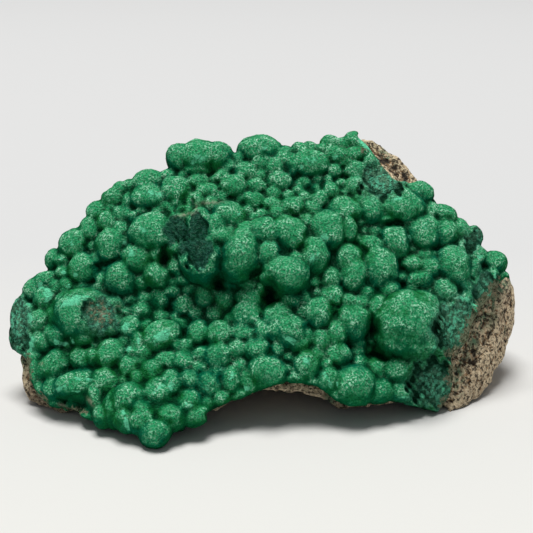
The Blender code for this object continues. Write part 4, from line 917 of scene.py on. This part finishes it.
EARTHY = (
    (-58.5, -17, 5.5, 4.5, 0, 0.50), (-60, -13, 5, 1.5, 0, 0.45), (80, -7, 2.2, 4, -35, 0.75),
    (76, -13, 2.4, 5, -35, 0.75), (72.5, -19, 2.4, 5, -25, 0.75), (70, -25, 2.6, 4, -15, 0.8),
    (66, -30, 4, 2.4, 20, 0.8), (65, -38, 1.6, 6, 0, 0.75), (62, -48, 1.5, 4, -30, 0.7),
    (34, 41, 1.8, 1.6, 0, 0.6), (41, 36, 1, 3, 30, 0.6), (63.5, -39.5, 1.5, 0.8, 0, 0.8),
    (-84, -36, 1.6, 6, 0, 0.7), (-79, -46, 3, 1.6, -30, 0.7), (-67, -50.5, 5, 1.5, -10, 0.6),
)
WEATHERED = (
    (41, 31, 7, 5, 20, 2.2), (-87, -20, 4, 10, 8, 1.3), (78, -10, 3, 7, 15, 1), (66, -20, 7, 9, -15, 1.3),
    (-58, -17, 6, 6, 0, 0.8), (72.5, 9, 3.5, 5, -25, 1), (58, -42, 7, 8, 0, 0.9),
)
SHELL_EDGE = (
    (-28.3, 18.3, 2.8, 0.5, 8, 1), (-24.8, 20.8, 0.5, 1.4, 0, 0.8), (-20, 22.5, 4.2, 0.6, 4, 0.8),
    (-57.7, -17, 1, 0.7, 0, 1), (-62, -14.8, 1.4, 0.7, -20, 0.6), (-62, -47.5, 1.8, 0.6, -50, 0.9),
    (-72, -48.7, 1.6, 0.6, -15, 0.9), (-79.3, -34.2, 0.7, 0.4, 0, 1), (63, -39.8, 1, 0.5, 0, 0.7),
    (-52, -13.6, 0.8, 0.6, 0, 0.8),
)


def zones(places, patches):
    """How strongly each place lies in the patches, from 0 to 1."""
    across, up, _ = board_measures(places)
    strength = np.zeros(len(across))
    for patch in patches:
        strength = np.maximum(strength, patch[5] * np.exp(-(apart(across, up, patch) ** 2)))
    return strength


for kind, patches in (("rubbed", RUBBED), ("earthy", EARTHY), ("weathered", WEATHERED),
                      ("shell_edge", SHELL_EDGE)):
    mark(crust.data, kind, zones(places_of(crust.data), patches))


def facing(mesh, towards):
    """How squarely each point faces this way, from -1 to 1."""
    flat = np.empty(len(mesh.vertices) * 3, np.float32)
    mesh.vertices.foreach_get("normal", flat)
    return flat.reshape(-1, 3) @ np.array(towards)


# Painted light: how squarely each knob faces forward and up sets its painted sheen, and its painted shade
# where it faces away.
PAINTED_SHEEN_SIDE = (0.0, -0.70, 0.71)  # painted sheen: a knob is painted silkiest and palest where it faces forward and up
PALER_HIGH = 0.0025  # and its painted light a little paler for each mm up the board

_, up, _ = board_measures(places_of(crust.data))
mark(crust.data, "open_face", facing(crust.data, PAINTED_SHEEN_SIDE) + PALER_HIGH * up)


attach(crust, "root")
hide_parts("malachite_crust")


# ---- Host rock ------------------------------------------------------------------------------------
# The broken, spongy brown rock under the crust: weathered iron-stained stone full of small holes.
# It shows at the right end, behind the crest, along the arch underneath and over the whole back.


def seen(across, up, depth):
    """A block's corner given on the board, in mm, in the same terms as the corners given in space."""
    return tuple(sight(across, up, depth) / MM + BLOCK_SHIFT)


# The blocks' corners were measured from a point beside the middle of the box.
BLOCK_SHIFT = np.array((0.79, -2.86, 0.0))

ROCK_BLOCKS = {
    "body": (
        (-74, 4, 24), (-68, 0, 7), (-64, 8, 50), (-50, 12, 62), (-66, 22, 5), (-42, 28, -3), (8, 32, -3),
        (56, 28, -3), (76, 20, 8), (-60, 22, 52), (-42, 26, 70), (-20, 29, 79), (32, 31, 85), (54, 30, 70),
        (78, 26, 46), (-34, -12, 14), (-4, -17, 15), (30, -16, 14), (56, -8, 10), (70, 2, 34), (50, 18, 66),
        (24, 24, 79),
    ),
    "back_ridge": (
        (-52, 24, 6), (-44, 30, 44), (-28, 41, 24), (-8, 43, 8), (-30, 34, 0), (4, 42, 40), (-12, 34, 62),
        (14, 34, 4), (0, 20, 30), (-40, 20, 20),
    ),
    "back_shoulder": (
        (18, 36, 10), (34, 42, 18), (56, 40, 12), (70, 32, 4), (62, 38, 44), (36, 38, 60), (28, 32, 0),
        (74, 26, 30), (40, 16, 30), (20, 30, 50),
    ),
    "right_end": (
        seen(76, 5, 20), seen(80.5, 5.5, 22), seen(84.5, 0.5, 24), seen(88, -7, 25), seen(88.5, -12.5, 25),
        seen(87.5, -21, 23), seen(86, -30, 19), seen(80, -43, 10), seen(73, -50, 3), seen(64, -55, -4),
        seen(71, -24, 2), seen(62, -42, -3), seen(80, -10, 11), seen(84, -12, 13), seen(83, -21, 10),
        seen(80, -32, 7), seen(74, -42, 0), (56, 10, 50), (50, 0, 8), (84, 34, 8),
        (88, 36, 30), (70, 36, -3), (60, 10, -3),
    ),
    "crest": (
        seen(33, 47, 20), seen(38.5, 46, 24), seen(45.5, 41, 24), seen(51.5, 35, 22), seen(54.5, 29.5, 20),
        seen(30, 36, 24), seen(46, 24, 22), (20, 30, 60), (30, 40, 66), (60, 30, 50),
    ),
    "left_foot": (
        (-89, -1, 17), (-87, -5, 5), (-79, -15, -1), (-70, -15, -1), (-60, -14, 1), (-84, 12, -1),
        (-86, 14, 20), (-62, 4, 30), (-50, 10, -2), seen(-88, -29, 3), seen(-87.5, -37, 0),
        seen(-86.5, -42, 0), seen(-84.5, -49, 0), seen(-80, -52, -1), seen(-72, -52, -3), seen(-65, -53, -8),
    ),
    "front_foot": (
        (-48, -26, -1), (-38, -33, -1), (-31, -27, -1), (-44, -24, 12), (-34, -24, 14), (-52, 2, 8),
        (-24, -6, 14), (-60, -12, 0), (-25, -6, 4), (-66, 4, 4), (-22, 8, 6),
    ),
    "ledge": (
        seen(-24, -54, -12), seen(-9, -49.5, -9), seen(6, -43.5, -9), seen(16, -47.5, -8),
        seen(21, -50.5, -7), seen(30, -51.5, -6), seen(42, -51, -6), seen(54, -50, -4),
        seen(-24, -46, -10), seen(6, -36, -6), seen(40, -42, -5), seen(56, -42, -4),
        (-24, 4, 9), (50, 4, 9), (0, 0, 24), (40, 0, 24),
    ),
}

ARCHES = (((3, -26, -1), (22, 34, 9.8)), ((40, -26, -3), (20, 26, 6)))


def hull(points):
    """A broken block: the tightest flat-sided form round its corners."""
    work = bmesh.new()
    for point in points:
        work.verts.new((np.array(point) - BLOCK_SHIFT) * MM)
    bmesh.ops.convex_hull(work, input=work.verts[:])
    loose = [vertex for vertex in work.verts if not vertex.link_faces]
    bmesh.ops.delete(work, geom=loose, context="VERTS")
    bmesh.ops.recalc_face_normals(work, faces=work.faces[:])
    return work


def rock_body():
    whole = bmesh.new()
    for corners in ROCK_BLOCKS.values():
        block = hull(corners)
        mesh = bpy.data.meshes.new("block")
        block.to_mesh(mesh)
        block.free()
        whole.from_mesh(mesh)
        bpy.data.meshes.remove(mesh)
    mesh = bpy.data.meshes.new("rock_body")
    whole.to_mesh(mesh)
    whole.free()
    return new_object("rock_body", mesh)


def scoop_arches(mesh):
    """Hollows the underside: every point inside an arch is lifted to its roof."""
    places = places_of(mesh)
    for middle, half_sizes in ARCHES:
        local = (places / MM + BLOCK_SHIFT - middle) / half_sizes
        flat = local[:, 0] ** 2 + local[:, 1] ** 2
        roof = (middle[2] + half_sizes[2] * np.sqrt(np.clip(1 - flat, 0, None))) * MM
        inside = (flat < 1) & (places[:, 2] < roof)
        places[:, 2] = np.where(inside, roof, places[:, 2])
    move_to(mesh, places)


# Painted shade: where the rock is darkened to umber along its bottom edge: across, up, half width, half
# height, turn, strength.
BOTTOM_SHADE_PATCHES = (
    (-78, -46, 14, 9, 0, 0.9), (-58, -54, 8, 8, 0, 0.9), (20, -50, 40, 6, 0, 0.8), (70, -46, 8, 6, 0, 0.4),
)

# Where crumbs of the crust still cling to the rock beside its torn edge.
FRAYED = (
    (83, -7, 2.5, 5, -35, 1), (79, -13, 2.5, 5, -35, 1), (75.5, -19, 2.5, 5, -25, 1),
    (73, -26, 2.5, 4, -15, 1), (68, -32, 4, 2.5, 20, 1), (67.5, -39, 2, 6, 0, 1), (42, 39, 1.2, 5, 40, 0.9),
    (-86, -34, 1.5, 4, 0, 0.8),
)


def sponge_tree():
    """Breaks the rock up: lumps, sharp ledges, and round holes where softer grains weathered out."""
    tree, given = new_geometry_tree("weather_rock", {
        "Lump Size": "Float", "Lump Height": "Float", "Ledge Size": "Float", "Ledge Height": "Float",
        "Hole Size": "Float", "Hole Depth": "Float", "Pore Size": "Float", "Pore Depth": "Float",
    })
    now = place(tree, "GeometryNodeInputPosition").outputs[0]
    normal = place(tree, "GeometryNodeInputNormal").outputs[0]
    kinds = ("Lump", "Ledge", "Hole", "Pore")
    per = {kind: maths(tree, "DIVIDE", 1.0, given[kind + " Size"]) for kind in kinds}
    lump = place(tree, "ShaderNodeTexNoise", {
        "Vector": now, "Scale": per["Lump"], "Detail": 3.0,
    }).outputs[0]
    height = times(tree, maths(tree, "SUBTRACT", lump, 0.5), given["Lump Height"])
    ledge = place(tree, "ShaderNodeTexVoronoi", {"Vector": now, "Scale": per["Ledge"]},
                  feature="F1", distance="CHEBYCHEV").outputs["Distance"]
    height = maths(tree, "SUBTRACT", height, times(tree, ledge, given["Ledge Height"]))
    for kind, start in (("Hole", 0.34), ("Pore", 0.4)):
        cell = place(tree, "ShaderNodeTexVoronoi", {"Vector": now, "Scale": per[kind], "Randomness": 1.0},
                     feature="SMOOTH_F1").outputs["Distance"]
        pit = maths(tree, "SUBTRACT", 1.0, maths(tree, "DIVIDE", cell, start), clamp=True)
        height = maths(tree, "SUBTRACT", height, times(tree, pit, given[kind + " Depth"]))
    shift = vector_maths(tree, "SCALE", {0: normal, "Scale": height})
    moved = place(tree, "GeometryNodeSetPosition", {"Geometry": given["Geometry"], "Offset": shift})
    return end_tree(tree, moved.outputs[0], given["Material"])


# The iron-stained browns of the rock, with umber for painted shade along the bottom and black for painted
# shade in pits and creases.
SHADE_UMBER = (0.045, 0.032, 0.020)
PIT_AND_CREASE_SHADE = (0.008, 0.006, 0.005)
RUST_BROWN = (0.15, 0.080, 0.035)
TAN = (0.44, 0.27, 0.14)
CREAM = (0.95, 0.79, 0.54)
COPPER_GREEN = (0.02, 0.17, 0.09)


def limonite():
    """Brown to cream grain and green stains, umber painted shade along the bottom edge, and black painted
    shade in the pits and creases.
    """
    material, tree, shader, spot = new_material("limonite")
    grain = use_group(tree, SUGAR, size=0.0009, level=0.48, softness=0.05)
    pits = use_group(tree, SUGAR, size=0.0012, level=0.545, softness=0.04)
    folds = use_group(tree, CREASES, crease_depth=0.25, crest_height=0.2, reach=0.2)
    colour = blend_in(tree, patchy(tree, spot, 0.0025, 0.35, 0.6), RUST_BROWN, TAN)
    colour = blend_in(tree, times(tree, grain["Flecks"], 0.85), colour, CREAM)
    colour = blend_in(tree, times(tree, folds["Crest"], 0.5), colour, CREAM)
    # Painted shade: umber along the rock's bottom edge, where the shade falls.
    bottom_darkening = times(tree, attribute(tree, "shaded_bottom"), patchy(tree, spot, 0.002, 0.3, 0.5))
    colour = blend_in(tree, times(tree, bottom_darkening, 0.85), colour, SHADE_UMBER)
    stain = patchy(tree, spot, 0.016, 0.62, 0.7)
    colour = blend_in(tree, times(tree, stain, 0.6), colour, COPPER_GREEN)
    frayed = times(tree, attribute(tree, "frayed"), patchy(tree, spot, 0.0018, 0.44, 0.54))
    colour = blend_in(tree, times(tree, frayed, 0.9), colour, COPPER_GREEN)
    # Painted shade: the pits and the creases are darkened to black.
    colour = blend_in(tree, times(tree, pits["Flecks"], 0.82), colour, PIT_AND_CREASE_SHADE)
    colour = blend_in(tree, times(tree, folds["Crease"], 0.92), colour, PIT_AND_CREASE_SHADE)
    tree.links.new(colour, shader.inputs["Base Color"])
    shader.inputs["Roughness"].default_value = 0.88
    shader.inputs["Specular IOR Level"].default_value = 0.3
    relief = maths(tree, "SUBTRACT", grain["Height"], times(tree, pits["Flecks"], 1.2))
    bump = place(tree, "ShaderNodeBump", {"Height": relief, "Distance": 0.0010, "Strength": 1.0})
    tree.links.new(bump.outputs[0], shader.inputs["Normal"])
    return material


ROCK_TRIANGLES = 190000

brown = limonite()
rock = rock_body()
voxel_skin(rock, 1.6 * MM)
smooth = rock.modifiers.new("smooth", "SMOOTH")
smooth.factor = 0.5
smooth.iterations = 4
bake_modifiers(rock)
scoop_arches(rock.data)
rest_on_floor(rock.data)
voxel_skin(rock, 0.75 * MM)
run_tree(rock, sponge_tree(), brown, lump_size=13 * MM, lump_height=4.5 * MM, ledge_size=7 * MM,
         ledge_height=1.6 * MM, hole_size=2.4 * MM, hole_depth=1.3 * MM, pore_size=1.3 * MM,
         pore_depth=0.7 * MM)
voxel_skin(rock, 0.6 * MM)
keep_largest_body(rock)
rest_on_floor(rock.data)
thin_out(rock, ROCK_TRIANGLES)
run_tree(rock, relief_tree(), brown)
rock.name = "porous_rock"
for kind, patches in (("shaded_bottom", BOTTOM_SHADE_PATCHES), ("frayed", FRAYED)):
    mark(rock.data, kind, zones(places_of(rock.data), patches))
rock.data.shade_smooth()


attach(rock, "root")
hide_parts("host_rock")


# ---- Floor, light and camera ----------------------------------------------------------------------
# A plain off-white sheet that the stone stands on, one wide soft light overhead, and a faint pale sky light
# round it.


def paper():
    material, tree, shader, spot = new_material("backing_paper")
    # Painted shade: the paper is painted darker from front to back.
    reach = place(tree, "ShaderNodeSeparateXYZ", {0: spot}).outputs["Y"]
    far = place(tree, "ShaderNodeMapRange", {
        "Value": reach, "From Min": -0.12, "From Max": 0.16,
    }).outputs[0]
    colour = blend_in(tree, far, (0.77, 0.77, 0.745), (0.675, 0.68, 0.685))
    tree.links.new(colour, shader.inputs["Base Color"])
    shader.inputs["Roughness"].default_value = 0.9
    shader.inputs["Specular IOR Level"].default_value = 0.1
    return material


sheet_mesh = bpy.data.meshes.new("backing_sheet")
work = bmesh.new()
bmesh.ops.create_circle(work, cap_ends=True, segments=96, radius=4.0)
work.to_mesh(sheet_mesh)
work.free()
backing = new_object("backing_sheet", sheet_mesh)
backing.data.materials.append(paper())

world = bpy.data.worlds.new("room")
bpy.context.scene.world = world
world.use_nodes = True
sky = world.node_tree.nodes["Background"]
sky.inputs["Color"].default_value = (0.93, 0.96, 1.0, 1)
sky.inputs["Strength"].default_value = 0.19


def soft_light(name, place_at, aim, size, power, colour):
    light = bpy.data.lights.new(name, "AREA")
    light.shape = "RECTANGLE"
    light.size, light.size_y = size
    light.energy = power
    light.color = colour
    lamp = new_object(name, light)
    lamp.location = place_at
    lamp.rotation_euler = (Vector(aim) - Vector(place_at)).to_track_quat("-Z", "Y").to_euler()


soft_light("overhead", (-0.4, 0.5, 6.0), (0, 0, 0.04), (3.0, 2.4), 385, (1.0, 0.985, 0.96))

IMAGE_WIDTH = 533  # image points across
POINT_SIZE = 0.352 * MM  # what each image point takes in on the board

camera = new_object("camera", bpy.data.cameras.new("camera"))
camera.data.sensor_width = 36
camera.data.angle = 2 * math.atan(IMAGE_WIDTH * POINT_SIZE / 2 / SIGHT_LENGTH)
camera.location = BOARD_CENTRE - AHEAD * SIGHT_LENGTH
camera.rotation_euler = Vector(AHEAD).to_track_quat("-Z", "Y").to_euler()
bpy.context.scene.camera = camera
bpy.context.scene.view_settings.view_transform = "Standard"
